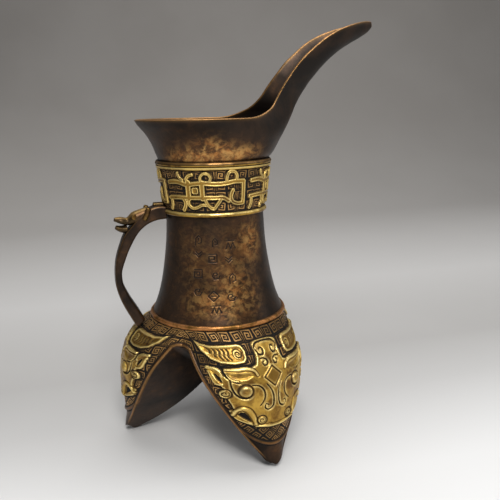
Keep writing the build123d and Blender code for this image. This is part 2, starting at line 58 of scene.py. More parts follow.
# The vessel's own upright axis in the frame, in millimetres
AXIS_X = (NECK_LOW.x + NECK_HIGH.x) / 2 * MM_PER_METRE
AXIS_Y = (NECK_LOW.y + NECK_HIGH.y) / 2 * MM_PER_METRE

# Heights and radii in millimetres, about the vessel's axis
SHOULDER_Z, SHOULDER_R = 75.0, 38.5
FRIEZE_LOW_Z, FRIEZE_LOW_R = 136.0, 28.2
FRIEZE_HIGH_Z, FRIEZE_HIGH_R = 162.8, 31.5
WAIST_R, TOP_SEAT_R = 27.7, 30.8
RIM_Z, RIM_SIDE_R = 186.3, 40.5
SPOUT_TIP_Z, SPOUT_REACH = 238.3, 96.0
BEAD_HEIGHT, BEAD_REACH = 2.8, 1.9
WALL = 2.6
# Each leg's name and the angle at which it stands, the CAD nodes of each, the step of its rows and its columns
LEGS = (("right", -73.0), ("left", 47.0), ("back", 167.0))
LEG_NODES = ("leg", "foot_bead", "mask", "mask_diamond", "mask_eyes", "brow_outer", "brow_inner", "arch_bead")
LEG_STEP, LEG_COLUMNS = 0.26, 300

# The legs' bags: height, centre and radius of the round sections
LOBE = np.array([
    (0, 53, 6.1), (5, 50.5, 8.2), (12, 45.5, 12.1), (20.15, 40.2, 17.7), (27.9, 36, 22.3),
    (36.8, 30.5, 27.6), (45, 25.5, 31.8), (53.5, 21, 34.5), (59.5, 18.6, 34.5), (64.5, 16, 34),
    (68.6, 12.4, 34.1), (72.2, 7.3, 35.2), (75, 0, 38.5),
])
# The neck's side: height and radius
NECK = np.array([(77.8, 37.80), (86.9, 34.37), (93.7, 32.55), (106.8, 30.07), (117.0, 28.76), (134.6, 27.70)])


def smooth_curve(x, xs, ys):
    """A smooth curve through points: cubic pieces whose slope at a point is the mean of its two sides."""
    xs, ys = np.asarray(xs, float), np.asarray(ys, float)
    step = np.diff(xs)
    rise = np.diff(ys) / step
    slope = np.empty_like(ys)
    slope[1:-1] = (rise[:-1] * step[1:] + rise[1:] * step[:-1]) / (step[1:] + step[:-1])
    slope[0] = 1.5 * rise[0] - 0.5 * slope[1]
    slope[-1] = 1.5 * rise[-1] - 0.5 * slope[-2]
    at = np.clip(np.searchsorted(xs, x, side="right") - 1, 0, len(xs) - 2)
    t = (np.asarray(x, float) - xs[at]) / step[at]
    t2, t3 = t * t, t * t * t
    return ((2 * t3 - 3 * t2 + 1) * ys[at] + (t3 - 2 * t2 + t) * step[at] * slope[at]
            + (3 * t2 - 2 * t3) * ys[at + 1] + (t3 - t2) * step[at] * slope[at + 1])


def ease(value, start, end):
    """0 before start, 1 after end, with a smooth S between them."""
    t = np.clip((value - start) / (end - start), 0.0, 1.0)
    return t * t * (3 - 2 * t)


def through(points, count):
    """A smooth open line with count points through the given ones, spaced by their lengths."""
    points = np.asarray(points, float)
    run = np.concatenate([[0], np.cumsum(np.linalg.norm(np.diff(points, axis=0), axis=1))])
    at = np.linspace(0, run[-1], count)
    return np.stack([smooth_curve(at, run, column) for column in points.T], axis=1)


def bell(value, width):
    """1 where the value is 0, falling to both sides as e to the minus square of the value in widths."""
    return np.exp(-(value / width) ** 2)


def dome(value, half):
    """A half circle's height in shares: 1 where the value is 0, and 0 from half outwards."""
    return np.sqrt(np.clip(1 - (value / half) ** 2, 0, 1))


# Farther than anything here, in millimetres
FAR = 1e9


def line_distance(x, y, line):
    """Distance from every (x, y) to a broken line, with the share of the way along it at the nearest point."""
    best = np.full(np.shape(x), FAR)
    along = np.zeros(np.shape(x))
    line = np.asarray(line, float)
    runs = np.linalg.norm(np.diff(line, axis=0), axis=1)
    total, before = max(runs.sum(), 1e-9), 0.0
    for (ax, ay), (bx, by), run in zip(line[:-1], line[1:], runs):
        dx, dy = bx - ax, by - ay
        t = np.clip(((x - ax) * dx + (y - ay) * dy) / max(run * run, 1e-12), 0, 1)
        gap = np.hypot(x - ax - t * dx, y - ay - t * dy)
        nearer = gap < best
        best = np.where(nearer, gap, best)
        along = np.where(nearer, (before + t * run) / total, along)
        before += run
    return best, along


def halved(low, high, holds, rounds):
    """Halving steps: where holds is true of the middle, low moves up to it, elsewhere high moves down to it."""
    for _ in range(rounds):
        middle = (low + high) / 2
        keep = holds(middle)
        low, high = np.where(keep, middle, low), np.where(keep, high, middle)
    return low, high


def outline_distance(x, y, corners):
    """Signed distance to a closed outline, negative inside: line distance with the sign of the crossing count."""
    corners = np.asarray(corners, float)
    closed = np.vstack([corners, corners[:1]])
    gap = line_distance(x, y, closed)[0]
    inside = np.zeros(np.shape(x), bool)
    for (ax, ay), (bx, by) in zip(closed[:-1], closed[1:]):
        if ay == by:
            continue
        inside ^= ((ay > y) != (by > y)) & (x < (bx - ax) * (y - ay) / (by - ay) + ax)
    return np.where(inside, -gap, gap)


# Meshes


# Vertices nearer than this, in metres, are welded into one
WELD_METRES = 1e-7


class Skin:
    """Collects grids of points, in millimetres about the vessel's axis, into one mesh with named values."""

    def __init__(self, name):
        self.name = name
        self.points, self.faces, self.marks, self.count = [], [], {}, 0

    def grid(self, points, around=False, flip=False, marks=None, cells=None, close_start=False, close_end=False):
        """Adds a grid of rows and columns. around joins the last column, a repeat of the first, to the first. A
        mark is a number or an array that fits the grid, cells are its places on the Pattern map, and an end that is
        closed gets a fan of triangles."""
        marks = marks or {}
        rows, cols = points.shape[:2]
        used = cols - 1 if around else cols
        index = np.arange(rows * used).reshape(rows, used)
        wrap = np.concatenate([index, index[:, :1]], axis=1) if around else index
        a, b = wrap[:-1, :-1], wrap[:-1, 1:]
        c, d = wrap[1:, 1:], wrap[1:, :-1]
        quads = np.stack([a, b, c, d], axis=-1).reshape(-1, 4)
        if cells is None:
            cells = np.zeros((rows, cols, 2))
        corner = np.stack([cells[:-1, :-1], cells[:-1, 1:], cells[1:, 1:], cells[1:, :-1]], axis=2).reshape(-1, 4, 2)
        if flip:
            quads, corner = quads[:, ::-1], corner[:, ::-1]
        self.faces.append((quads + self.count, corner))
        self.points.append(points[:, :used].reshape(-1, 3))
        for key in set(self.marks) | set(marks):
            value = np.broadcast_to(marks.get(key, 0.0), (rows, cols))[:, :used]
            self.marks.setdefault(key, [np.zeros(self.count)]).append(value.reshape(-1))
        base = self.count
        self.count += rows * used
        for end, wanted in ((0, close_start), (rows - 1, close_end)):
            if wanted:
                ring = base + index[end]
                self.fan(ring, points[end, :used].mean(axis=0), flip != (end == 0), cells[end].mean(axis=0))

    def fan(self, ring, centre, flip, cell):
        """Closes a ring of vertices with a middle vertex."""
        middle = self.count
        self.points.append(centre[None])
        for values in self.marks.values():
            values.append(values[-1][-1:])
        self.count += 1
        after = np.roll(ring, -1)
        triangles = np.stack([ring, after, np.full_like(ring, middle)], axis=1)
        if flip:
            triangles = triangles[:, ::-1]
        self.faces.append((triangles, np.broadcast_to(cell, (len(ring), 3, 2))))

    def build(self, material, nodes, weld=False):
        """Makes the object: millimetres about the axis become metres in the frame. weld joins vertices that
        coincide."""
        points = np.concatenate(self.points) + np.array([AXIS_X, AXIS_Y, 0.0])
        sizes = np.concatenate([np.full(len(faces), faces.shape[1]) for faces, _ in self.faces])
        loops = np.concatenate([faces.reshape(-1) for faces, _ in self.faces])
        mesh = bpy.data.meshes.new(self.name)
        mesh.vertices.add(len(points))
        mesh.vertices.foreach_set("co", (points / MM_PER_METRE).astype(np.float32).reshape(-1))
        mesh.loops.add(len(loops))
        mesh.loops.foreach_set("vertex_index", loops.astype(np.int32))
        mesh.polygons.add(len(sizes))
        mesh.polygons.foreach_set("loop_start", np.concatenate([[0], np.cumsum(sizes)[:-1]]).astype(np.int32))
        mesh.update(calc_edges=True)
        layer = mesh.uv_layers.new(name="Pattern")
        corners = np.concatenate([corner.reshape(-1, 2) for _, corner in self.faces])
        layer.data.foreach_set("uv", corners.astype(np.float32).reshape(-1))
        for key, values in self.marks.items():
            mark = mesh.attributes.new(key, "FLOAT", "POINT")
            mark.data.foreach_set("value", np.concatenate(values).astype(np.float32))
        mesh.polygons.foreach_set("use_smooth", np.full(len(sizes), True))
        if weld:
            joined = bmesh.new()
            joined.from_mesh(mesh)
            bmesh.ops.remove_doubles(joined, verts=joined.verts, dist=WELD_METRES)
            joined.to_mesh(mesh)
            joined.free()
        mesh.validate()
        piece = bpy.data.objects.new(self.name, mesh)
        bpy.context.scene.collection.objects.link(piece)
        mesh.materials.append(material)
        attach(piece, "root")
        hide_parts(*nodes)


def ring_points(radius, z, turns):
    """Points of stacked circles: radius and height per row, angle in radians per column."""
    radius, z = np.broadcast_arrays(np.asarray(radius, float), np.asarray(z, float))
    if radius.ndim == 1:
        radius, z = radius[:, None], z[:, None]
    return np.stack(np.broadcast_arrays(radius * np.cos(turns), radius * np.sin(turns), z), axis=-1)


def full_turn(count):
    """Angles once round, the first one repeated at the end."""
    return np.linspace(0, 2 * np.pi, count + 1)


def tube_points(path, across, radius, sides, flat=1.0):
    """A round rod along a path: each ring is spanned by the across direction and by its cross product with the
    path's own direction, and scaled by the radius at that row."""
    path = np.asarray(path, float)
    way = np.gradient(path, axis=0)
    way /= np.linalg.norm(way, axis=1)[:, None]
    side = np.broadcast_to(np.asarray(across, float), path.shape)
    side = side - way * np.sum(side * way, axis=1)[:, None]
    side /= np.linalg.norm(side, axis=1)[:, None]
    over = np.cross(way, side)
    turn = full_turn(sides)
    radius = np.broadcast_to(radius, len(path))[:, None, None]
    return path[:, None] + radius * (np.cos(turn)[None, :, None] * side[:, None] * flat
                                     + np.sin(turn)[None, :, None] * over[:, None])


# Materials


class Socket:
    """A shader value: the usual operators add Math nodes, and numbers alone stay numbers."""

    def __init__(self, maker, source):
        self.maker, self.source = maker, source

    def _math(self, operation, *values):
        return self.maker.node("ShaderNodeMath", {"operation": operation}, *values)

    def __add__(self, other):
        return self._math("ADD", self, other)

    __radd__ = __add__

    def __mul__(self, other):
        return self._math("MULTIPLY", self, other)

    __rmul__ = __mul__

    def __sub__(self, other):
        return self._math("SUBTRACT", self, other)

    def __rsub__(self, other):
        return self._math("SUBTRACT", other, self)

    def __abs__(self):
        return self._math("ABSOLUTE", self)

    def greatest(self, other):
        return self._math("MAXIMUM", self, other)

    def fraction(self):
        return self._math("FRACT", self)

    def between(self, low, high):
        """0 below low and 1 above high, smooth between them."""
        return self.maker.node("ShaderNodeMapRange", {"interpolation_type": "SMOOTHSTEP"}, self, low, high, 0.0, 1.0)


class Finish:
    """One material and its node tree."""

    def __init__(self, name):
        self.material = bpy.data.materials.new(name)
        self.material.use_nodes = True
        self.tree = self.material.node_tree
        self.tree.nodes.clear()

    def node(self, kind, settings, *values, out=0, **named):
        """Adds a node: its settings first, then its sockets by order or by name, each a number, colour or link."""
        made = self.tree.nodes.new(kind)
        stops = settings.pop("stops", None)
        for key, value in settings.items():
            setattr(made, key, value)
        if stops:
            ramp = made.color_ramp.elements
            while len(ramp) < len(stops):
                ramp.new(0.5)
            for element, (place, colour) in zip(ramp, stops):
                element.position, element.color = place, (*colour, 1.0)
        pairs = list(enumerate(values)) + [(key.replace("_", " "), value) for key, value in named.items()]
        for key, value in pairs:
            if value is None:
                continue
            socket = made.inputs[key]
            if isinstance(value, Socket):
                self.tree.links.new(value.source, socket)
            elif isinstance(value, tuple) and len(value) == 3 and socket.type == "RGBA":
                socket.default_value = (*value, 1.0)
            else:
                socket.default_value = value
        return Socket(self, made.outputs[out]) if made.outputs else None

    def mark(self, name):
        """The value of one of the mesh's marks."""
        return self.node("ShaderNodeAttribute", {"attribute_name": name}, out=2)

    def place(self):
        """The object's own coordinates, in metres."""
        return self.node("ShaderNodeTexCoord", {}, out=3)

    def parts(self, vector):
        """A vector's three parts."""
        made = self.tree.nodes.new("ShaderNodeSeparateXYZ")
        self.tree.links.new(vector.source, made.inputs[0])
        return [Socket(self, part) for part in made.outputs]

    def noise(self, place, scale, detail, rough, distortion=0.0):
        return self.node("ShaderNodeTexNoise", {}, Vector=place, Scale=scale, Detail=detail, Roughness=rough,
                         Distortion=distortion)

    def mix(self, share, first, second):
        """A colour that runs from the first to the second as the share goes from 0 to 1."""
        made = self.tree.nodes.new("ShaderNodeMix")
        made.data_type = "RGBA"
        for key, value in ((0, share), (6, first), (7, second)):
            if isinstance(value, Socket):
                self.tree.links.new(value.source, made.inputs[key])
            elif key == 0:
                made.inputs[key].default_value = value
            else:
                made.inputs[key].default_value = (*value, 1.0)
        return Socket(self, made.outputs[2])

    def surface(self, colour, metallic, roughness, specular, **bump):
        """Joins the shader to the output, with a bump where its strength, distance and height are given."""
        normal = self.node("ShaderNodeBump", {}, **bump) if bump else None
        shader = self.node("ShaderNodeBsdfPrincipled", {}, Base_Color=colour, Metallic=metallic, Roughness=roughness,
                           Normal=normal, Specular_IOR_Level=specular)
        self.node("ShaderNodeOutputMaterial", {}, shader)
        return self.material


METAL_SPECULAR = 0.2
# Turns of a square spiral from the middle of its cell to the edge
SPIRAL_TURNS = 4.6


def square_spiral(finish):
    """The thunder pattern: each cell of the Pattern map holds a square spiral. Inside a cell, the larger of the
    distances across and up, times the number of turns, less the turn around the middle, has a fraction that runs
    from 0 to 1 from one groove to the next. Neighbouring cells are mirrored. Gives 1 in a groove."""
    across, up, _ = finish.parts(finish.node("ShaderNodeUVMap", {"uv_map": "Pattern"}))
    odd = ((across * 0.5).fraction() - 0.25).between(0.24, 0.26) * 2.0 - 1.0
    x = (across.fraction() - 0.5) * odd
    y = up.fraction() - 0.5
    reach = abs(x).greatest(abs(y))
    turn = finish.node("ShaderNodeMath", {"operation": "ARCTAN2"}, y, x) * (0.5 / math.pi)
    wave = abs((reach * SPIRAL_TURNS - turn).fraction() - 0.5) * 2.0
    return wave.between(0.40, 0.62).greatest(reach.between(0.42, 0.46))


def bronze_colours(finish, place, look, rub_mark):
    """Dark brown patina, reddish and golden where hands rubbed it and where the rub mark is set, which on the
    handle's edges and the head's top is painted highlight, in brushed streaks: base colour, roughness, fine grain and
    cloud."""
    streaks = finish.node("ShaderNodeVectorMath", {"operation": "MULTIPLY"}, place, (1.0, 1.0, 1.5))
    cloud = finish.noise(place, 34.0, 5.0, 0.6, 0.4)
    rub = finish.noise(streaks, 120.0, 6.0, 0.68, 1.4)
    fine = finish.noise(place, 620.0, 3.0, 0.6)
    spots = finish.noise(place, 260.0, 4.0, 0.6, 0.5)
    brown = finish.mix(cloud.between(0.38, 0.62), look.patina_dark, look.patina_warm)
    worn = (rub.between(0.46, 0.70) * cloud.between(0.46, 0.70) * 0.22).greatest(
        rub_mark * (0.12 + rub.between(0.40, 0.64) * 0.80))
    brown = finish.mix(worn, brown, look.patina_rub_and_highlight)
    glow = spots.between(0.44, 0.64) * rub_mark * 0.8
    brown = finish.mix(glow, brown, look.ridge_rub_and_highlight)
    brown = finish.mix(fine.between(0.52, 0.72) * 0.40, brown, look.patina_dark)
    rough = 0.27 + rub * 0.16 + fine * 0.10
    return brown, rough, fine, cloud


def ornament_finish(look, name):
    """Bronze with gilding where the gilt mark is, square spirals where the ground mark is, light on the ridges,
    partly as rubbed metal and partly as painted highlight, brown in the lows and, on the beads' undersides, as
    painted shade, and near-black in the grooves as their dark fill and in corners and on inner walls as painted
    shade."""
    finish = Finish(name)
    place = finish.place()
    marks = ("gilt", "ground", "hollow", "copper", "bright", "worn", "rub")
    gilt, ground, hollow, copper, bright, worn, rub = (finish.mark(key) for key in marks)
    brown, rough, fine, cloud = bronze_colours(finish, place, look, rub)
    groove = square_spiral(finish) * ground
    wear = finish.noise(place, 150.0, 5.0, 0.66, 0.8)
    stain = finish.noise(place, 64.0, 4.0, 0.6, 0.5)
    thin = (stain.between(0.34, 0.58) * (0.25 + wear.between(0.36, 0.60) * 0.75)).greatest(worn * 0.8)
    gold = finish.mix(thin, look.gilding, look.gilding_worn)
    gold = finish.mix(wear.between(0.54, 0.70) * (worn * 0.6 + 0.35), gold, look.gilding_low)
    # The bright mark lightens the gold: rubbed rims, and painted highlight
    gold = finish.mix(bright * 0.65, gold, look.gilding_rub_and_highlight)
    red = finish.mix(wear.between(0.40, 0.66), look.copper, look.gilding_worn)
    tops = ground * (1.0 - groove) * (0.35 + cloud.between(0.36, 0.62) * 0.65)
    colour = finish.mix(tops.greatest(bright * 0.55), brown, look.ridge_rub_and_highlight)
    colour = finish.mix(copper, colour, red)
    colour = finish.mix(gilt, colour, gold)
    # Near-black: the grooves' dark fill, and painted shade in corners, on inner walls and on the darker places of
    # neck and mouth
    dark = hollow.greatest(groove * 0.95)
    colour = finish.mix(dark, colour, look.shade_and_fill_tone)
    metallic = 0.88 - dark * 0.7
    roughness = rough + dark * 0.3 - gilt * 0.08 + wear * gilt * 0.12
    height = fine * 0.12 + wear * (0.2 + gilt * 0.45) + stain * (0.2 + gilt * 0.4) - groove
    return finish.surface(colour, metallic, roughness, METAL_SPECULAR, Strength=0.9, Distance=0.0004, Height=height)


def patina_finish(look, name, shade):
    """Plain bronze: mottled patina over faint casting bumps, darkened by the shade's shortfall from one as painted
    shade.
    """
    finish = Finish(name)
    place = finish.place()
    brown, rough, fine, _ = bronze_colours(finish, place, look, 0.2)
    soft = finish.noise(place, 60.0, 3.0, 0.5)
    brown = finish.mix(1.0 - shade, brown, look.shade_and_fill_tone)
    return finish.surface(brown, 0.85, rough, METAL_SPECULAR, Strength=0.35, Distance=0.0005,
                          Height=fine * 0.12 + soft * 0.8)


# Shapes of the body


# The height over which a foot is rounded off, and how far its sole draws in
FOOT_ROUND, FOOT_DRAW = 3.0, 1.5


def lobe_at(z):
    """Centre and radius of the leg's round section; near the floor a quarter ellipse rounds the foot off."""
    low = 1 - np.clip(z / FOOT_ROUND, 0, 1)
    away = FOOT_DRAW * (1 - np.sqrt(1 - low ** 2))
    return smooth_curve(z, LOBE[:, 0], LOBE[:, 1]), smooth_curve(z, LOBE[:, 0], LOBE[:, 2]) - away


# The arch between two legs: its top's height on the axis, its rise for each millimetre out, radius and half angle of
# the round top, bulge of the sides, and how far out the leg's inner ridge meets the ground
CROTCH_Z, ARCH_RISE = 34.0, 0.786
ARCH_TOP_R, ARCH_TOP_ANGLE, ARCH_BULGE = 7.0, 50.0, 2.4
SOLE_REACH = 53.5
# Half the angle between two legs, its cosine and its sine
HALF = math.radians(60.0)
HALF_COS, HALF_SIN = math.cos(HALF), math.sin(HALF)


def arch_profile():
    """Points of the arch's outline from its top to the ground, across from the valley and up: an arc of the top
    radius, then a shallow bulging arc."""
    steep = math.radians(ARCH_TOP_ANGLE)
    turn = np.linspace(0, steep, 24)
    centre = CROTCH_Z - ARCH_TOP_R
    top = np.stack([ARCH_TOP_R * np.sin(turn), centre + ARCH_TOP_R * np.cos(turn)], axis=1)
    start = top[-1]
    end = np.array([SOLE_REACH * HALF_SIN, -ARCH_RISE * SOLE_REACH * HALF_COS])
    slope = math.atan2(start[1] - end[1], end[0] - start[0])
    t = np.linspace(0, 1, 60)[1:, None]
    sag = 4 * ARCH_BULGE * t * (1 - t)
    side = start * (1 - t) + end * t - sag * np.array([math.sin(slope), math.cos(slope)])
    return np.vstack([top, side])


ARCH = arch_profile()


def arch_height(across):
    """Height of the arch's outline at a distance across from the valley."""
    return np.interp(np.abs(across), ARCH[:, 0], ARCH[:, 1])


def arch_gap(x, y, z):
    """How far a point lies outside the nearer arch, in the arch's own plane: distance to its outline."""
    y = np.abs(y)
    out = x * HALF_COS + y * HALF_SIN
    across = np.abs(-x * HALF_SIN + y * HALF_COS)
    flat = z - ARCH_RISE * out
    gap = line_distance(across, flat, ARCH[::2])[0]
    return np.where(flat > arch_height(across), gap, -gap)


def skin_limit(z):
    """The angle round the bag's centre, at each height, where its outer face ends: at the arch or, above it, at
    the plane of the valley between two legs. Found by halving steps."""
    centre, radius = lobe_at(z)

    def outside(angle):
        x, y = centre + radius * np.cos(angle), radius * np.sin(angle)
        out = x * HALF_COS + y * HALF_SIN
        across = x * HALF_SIN - y * HALF_COS
        return (across >= 0) & (z - ARCH_RISE * out > arch_height(across))

    return halved(np.zeros_like(z), np.full_like(z, math.radians(178.0)), outside, 40)[0]


def blurred(field, reach):
    """The mean of a field over a square window, from running sums along both ways."""
    for axis in (0, 1):
        edge = [(reach + 1, reach) if way == axis else (0, 0) for way in (0, 1)]
        total = np.cumsum(np.pad(field, edge, mode="edge"), axis=axis)
        span = 2 * reach + 1
        field = (np.take(total, range(span, total.shape[axis]), axis=axis)
                 - np.take(total, range(0, total.shape[axis] - span), axis=axis)) / span
    return field


class Relief:
    """Heights and marks over a patch of surface, in millimetres: plates with rolled rims, ridges, bosses, scrolls
    and cut lines, each worked out from the distance to its outline, line or centre."""

    def __init__(self, x, y, base):
        self.x, self.y = x, y
        self.height = np.full(x.shape, base)
        self.gilt, self.hollow = np.zeros(x.shape), np.zeros(x.shape)

    def darken(self, amount):
        """Makes the dark mark at least this strong."""
        self.hollow = np.maximum(self.hollow, amount)

    def plate(self, outline, rise, rim, rim_width):
        """A raised plate with a rolled rim and a dark line round it. Gives the distance to its outline."""
        edge = outline_distance(self.x, self.y, outline)
        raised = (1 - ease(edge, -0.55, 0.1)) * rise
        roll = rim * bell(edge + 1.35 * rim_width, rim_width)
        self.height = np.where(edge < 0.1, self.height + raised + roll, self.height)
        self.gilt = np.maximum(self.gilt, 1 - ease(edge, -0.3, 0.0))
        self.hollow = np.where(edge < 0.0, self.hollow, np.maximum(self.hollow, 0.95 * (1 - ease(edge, 0.4, 1.5))))
        return edge

    def dip(self, outline, depth, soft, dark):
        """A dip with sloping sides."""
        edge = outline_distance(self.x, self.y, outline)
        low = 1 - ease(edge, -soft, 0.15)
        self.height -= depth * low
        self.darken(dark * low)

    def ridge(self, width, rise, moat, line):
        """A rolled ridge: its section is a half ellipse, thinner towards the ends, with a dark moat beside it."""
        gap, along = line_distance(self.x, self.y, through(line, 26))
        width = width * (0.45 + 0.55 * np.sin(np.pi * np.clip(along, 0.12, 0.88)))
        beside = bell(gap - width - moat, moat) * (gap > width) if moat else 0.0
        self.height = np.where(gap < width, np.maximum(self.height, 1.1 + rise * dome(gap, width)),
                               self.height - 0.4 * beside)
        self.hollow = np.where(gap < width * 0.92, 0.0, np.maximum(self.hollow, 0.85 * beside))
        self.gilt = np.where(gap < width, 1.0, self.gilt)

    def cut(self, width, depth, line):
        """An engraved line that runs out thin at both ends."""
        gap, along = line_distance(self.x, self.y, through(line, 30))
        width = width * (0.5 + 0.5 * np.sin(np.pi * np.clip(along, 0.1, 0.9)))
        groove = 1 - ease(gap, width * 0.5, width)
        self.height -= depth * groove
        self.darken(groove)

    def boss(self, x, y, radius, foot, rise):
        """A round boss in a dark ring."""
        far = np.hypot(self.x - x, self.y - y)
        ring = bell(far - radius - 0.42, 0.42)
        self.height = np.where(far < radius, np.maximum(self.height, foot + rise * dome(far, radius)),
                               self.height - 0.5 * ring)
        self.hollow = np.where(far < radius * 0.96, 0.0, np.maximum(self.hollow, ring * (far > radius * 0.96)))
        self.gilt = np.where(far < radius, 1.0, self.gilt)

    def scroll(self, x, y, radius, turns, start):
        """A boss with a spiral groove."""
        self.boss(x, y, radius, foot=1.1, rise=0.75)
        far, wave = self.spiral(x, y, radius, turns, start)
        swirl = (1 - ease(wave, 0.08, 0.22)) * (far > 0.12 * radius) * (far < radius * 0.84)
        self.height -= 0.5 * swirl
        self.darken(swirl)

    def spiral(self, x, y, radius, turns, start=0.0):
        """Distance from a centre, and how far a point is from a spiral round it: the spiral runs where the distance
        times the turns over the radius, less the turn of the point, is halfway between whole numbers."""
        far = np.hypot(self.x - x, self.y - y)
        turn = np.arctan2(self.y - y, self.x - x) / (2 * np.pi)
        return far, np.abs((far / radius * turns - turn + start) % 1.0 - 0.5)

    def tones(self, reach):
        """Marks for the high and the low places: the height less its mean nearby."""
        tone = self.height - blurred(self.height, reach)
        return ease(tone, 0.04, 0.34), ease(-tone, 0.02, 0.30)


# The mask's left half, in millimetres across and up, which the right half mirrors: its outline and its two hollows
MASK = [(8.0, 70.3), (0.0, 70.3), (-4.2, 70.1), (-6.6, 69.6), (-7.5, 68.5), (-7.1, 66.8), (-7.3, 62.4),
        (-8.2, 60.0), (-10.8, 58.9), (-17.0, 59.2), (-22.8, 59.0), (-23.9, 57.8), (-25.4, 58.9),
        (-29.2, 59.3), (-28.2, 55.2), (-26.8, 51.4), (-25.0, 49.4), (-24.2, 48.3), (-26.0, 46.6),
        (-25.4, 43.6), (-22.8, 42.6), (-21.4, 40.0), (-20.2, 36.6), (-22.0, 36.0), (-20.6, 32.6),
        (-18.4, 30.4), (-15.0, 28.7), (-11.6, 27.3), (-10.2, 26.6), (-6.4, 26.2), (0.0, 25.7), (8.0, 25.7)]
MOUTH_CORNER = [(-19.0, 33.9), (-17.4, 35.6), (-15.6, 35.4), (-14.0, 33.4), (-12.6, 30.6), (-12.2, 29.2),
                (-14.2, 30.2), (-16.8, 32.0)]
BROW_RECESS = [(-22.0, 56.2), (-20.4, 54.0), (-17.6, 52.8), (-13.8, 53.0), (-10.4, 54.6), (-11.8, 56.2),
               (-18.0, 56.6)]
# The mask's ridges: half width, rise and width of the dark moat beside them, then the line
RIDGES = {
    "lip": (1.25, 1.15, 0.3, [(-20.0, 33.6), (-19.0, 36.4), (-16.9, 37.7), (-14.6, 36.8), (-12.7, 34.2),
                              (-11.3, 30.8), (-10.5, 27.7)]),
    "chin": (0.9, 0.75, 0.2, [(-10.4, 27.3), (-6.0, 27.0), (-3.0, 26.8), (3.0, 26.7)]),
    "leaf top": (1.2, 0.9, 0.0, [(-28.8, 58.7), (-26.4, 58.0), (-24.8, 56.6), (-24.4, 55.0)]),
    "leaf low": (1.1, 0.9, 0.0, [(-28.4, 57.2), (-27.2, 53.6), (-26.0, 50.8), (-24.6, 50.6)]),
    "brow": (0.9, 1.0, 0.2, [(-22.6, 58.2), (-17.5, 58.1), (-12.2, 58.2), (-9.6, 57.0), (-8.4, 54.8)]),
    "under brow": (0.5, 0.5, 0.15, [(-22.4, 55.4), (-20.6, 53.0), (-17.8, 52.4)]),
}
# The mask's cut lines: half width and depth, then the line
CUTS = {
    "leaf notch": (0.9, 0.9, [(-26.6, 55.6), (-25.6, 53.6), (-24.9, 52.2)]),
    "leaf gap": (0.75, 1.0, [(-23.9, 58.8), (-23.4, 56.0), (-22.2, 54.0)]),
    "almond": (0.62, 0.7, [(-21.4, 53.2), (-21.0, 49.2), (-19.4, 45.6), (-16.9, 43.6), (-14.2, 43.4),
                           (-12.4, 45.0)]),
    "lid": (0.4, 0.4, [(-20.4, 52.2), (-18.4, 51.6), (-16.4, 51.2)]),
    "cheek": (0.6, 0.7, [(-11.8, 50.0), (-8.6, 49.4), (-6.2, 46.6), (-6.1, 42.6), (-8.6, 38.8)]),
    "nose": (0.6, 0.8, [(-4.4, 49.8), (-2.2, 46.2), (-1.4, 41.4), (-2.4, 37.2), (-4.8, 36.0), (-6.3, 37.4),
                        (-5.6, 39.2), (-4.4, 38.6)]),
    "shield": (0.55, 0.7, [(-5.9, 65.2), (-6.3, 67.4), (-5.0, 68.7), (-2.0, 69.2), (2.0, 69.2)]),
    "high curl": (0.55, 0.7, [(-6.0, 65.8), (-4.9, 64.0), (-3.2, 63.8), (-2.4, 65.4), (-3.2, 66.8), (-4.3, 66.2)]),
    "low curl": (0.55, 0.7, [(-5.8, 61.8), (-3.6, 62.1), (-1.9, 61.0), (-2.0, 59.2), (-3.7, 58.8), (-4.3, 60.2),
                             (-3.4, 60.8)]),
}
# The diamond on the brow, the plaque beside the mask's top and the plaque's field
DIAMOND = [(0.0, 58.2), (5.0, 53.2), (0.0, 47.9), (-5.0, 53.2)]
PLAQUE = [(-30.8, 70.7), (-28.8, 69.3), (-26.0, 68.8), (-22.0, 69.1), (-14.1, 69.5), (-12.1, 68.7),
          (-11.2, 66.3), (-11.5, 62.9), (-13.0, 61.0), (-17.7, 60.4), (-23.4, 60.9), (-26.9, 62.5),
          (-29.4, 65.9)]
PLAQUE_FIELD = [(-28.7, 68.7), (-26.0, 67.7), (-22.1, 67.8), (-14.5, 68.1), (-13.0, 67.3), (-12.6, 65.7),
                (-12.9, 63.7), (-13.9, 62.5), (-17.7, 61.9), (-23.1, 62.3), (-26.0, 63.9), (-27.8, 66.7)]
# Centres and radii of the plaque's spiral, of the eye and of the curls at nose and ear
PLAQUE_SPIRAL = (-15.2, 65.1, 2.3)
EYE = (-15.0, 47.2, 3.0)
CURLS = ((-7.9, 30.6, 2.0), (-23.6, 45.6, 2.2))
# The patterned ground's height above the bag
GROUND_RISE = 0.35
# The foot's bead: its height at the middle, its rise for each square millimetre across, and half its width
FOOT_BEAD_Z, FOOT_BEAD_BOW, FOOT_BEAD_HALF = 15.0, 0.033, 1.15
# Half the width of the bead along the arch
ARCH_BEAD_HALF = 1.15
# Cell sizes of the leg's square spirals: across and up on the shoulder, then slantwise on the foot
SHOULDER_CELL, FOOT_CELL, FOOT_CELLS_BELOW = (6.2, 5.2), 7.0, 40


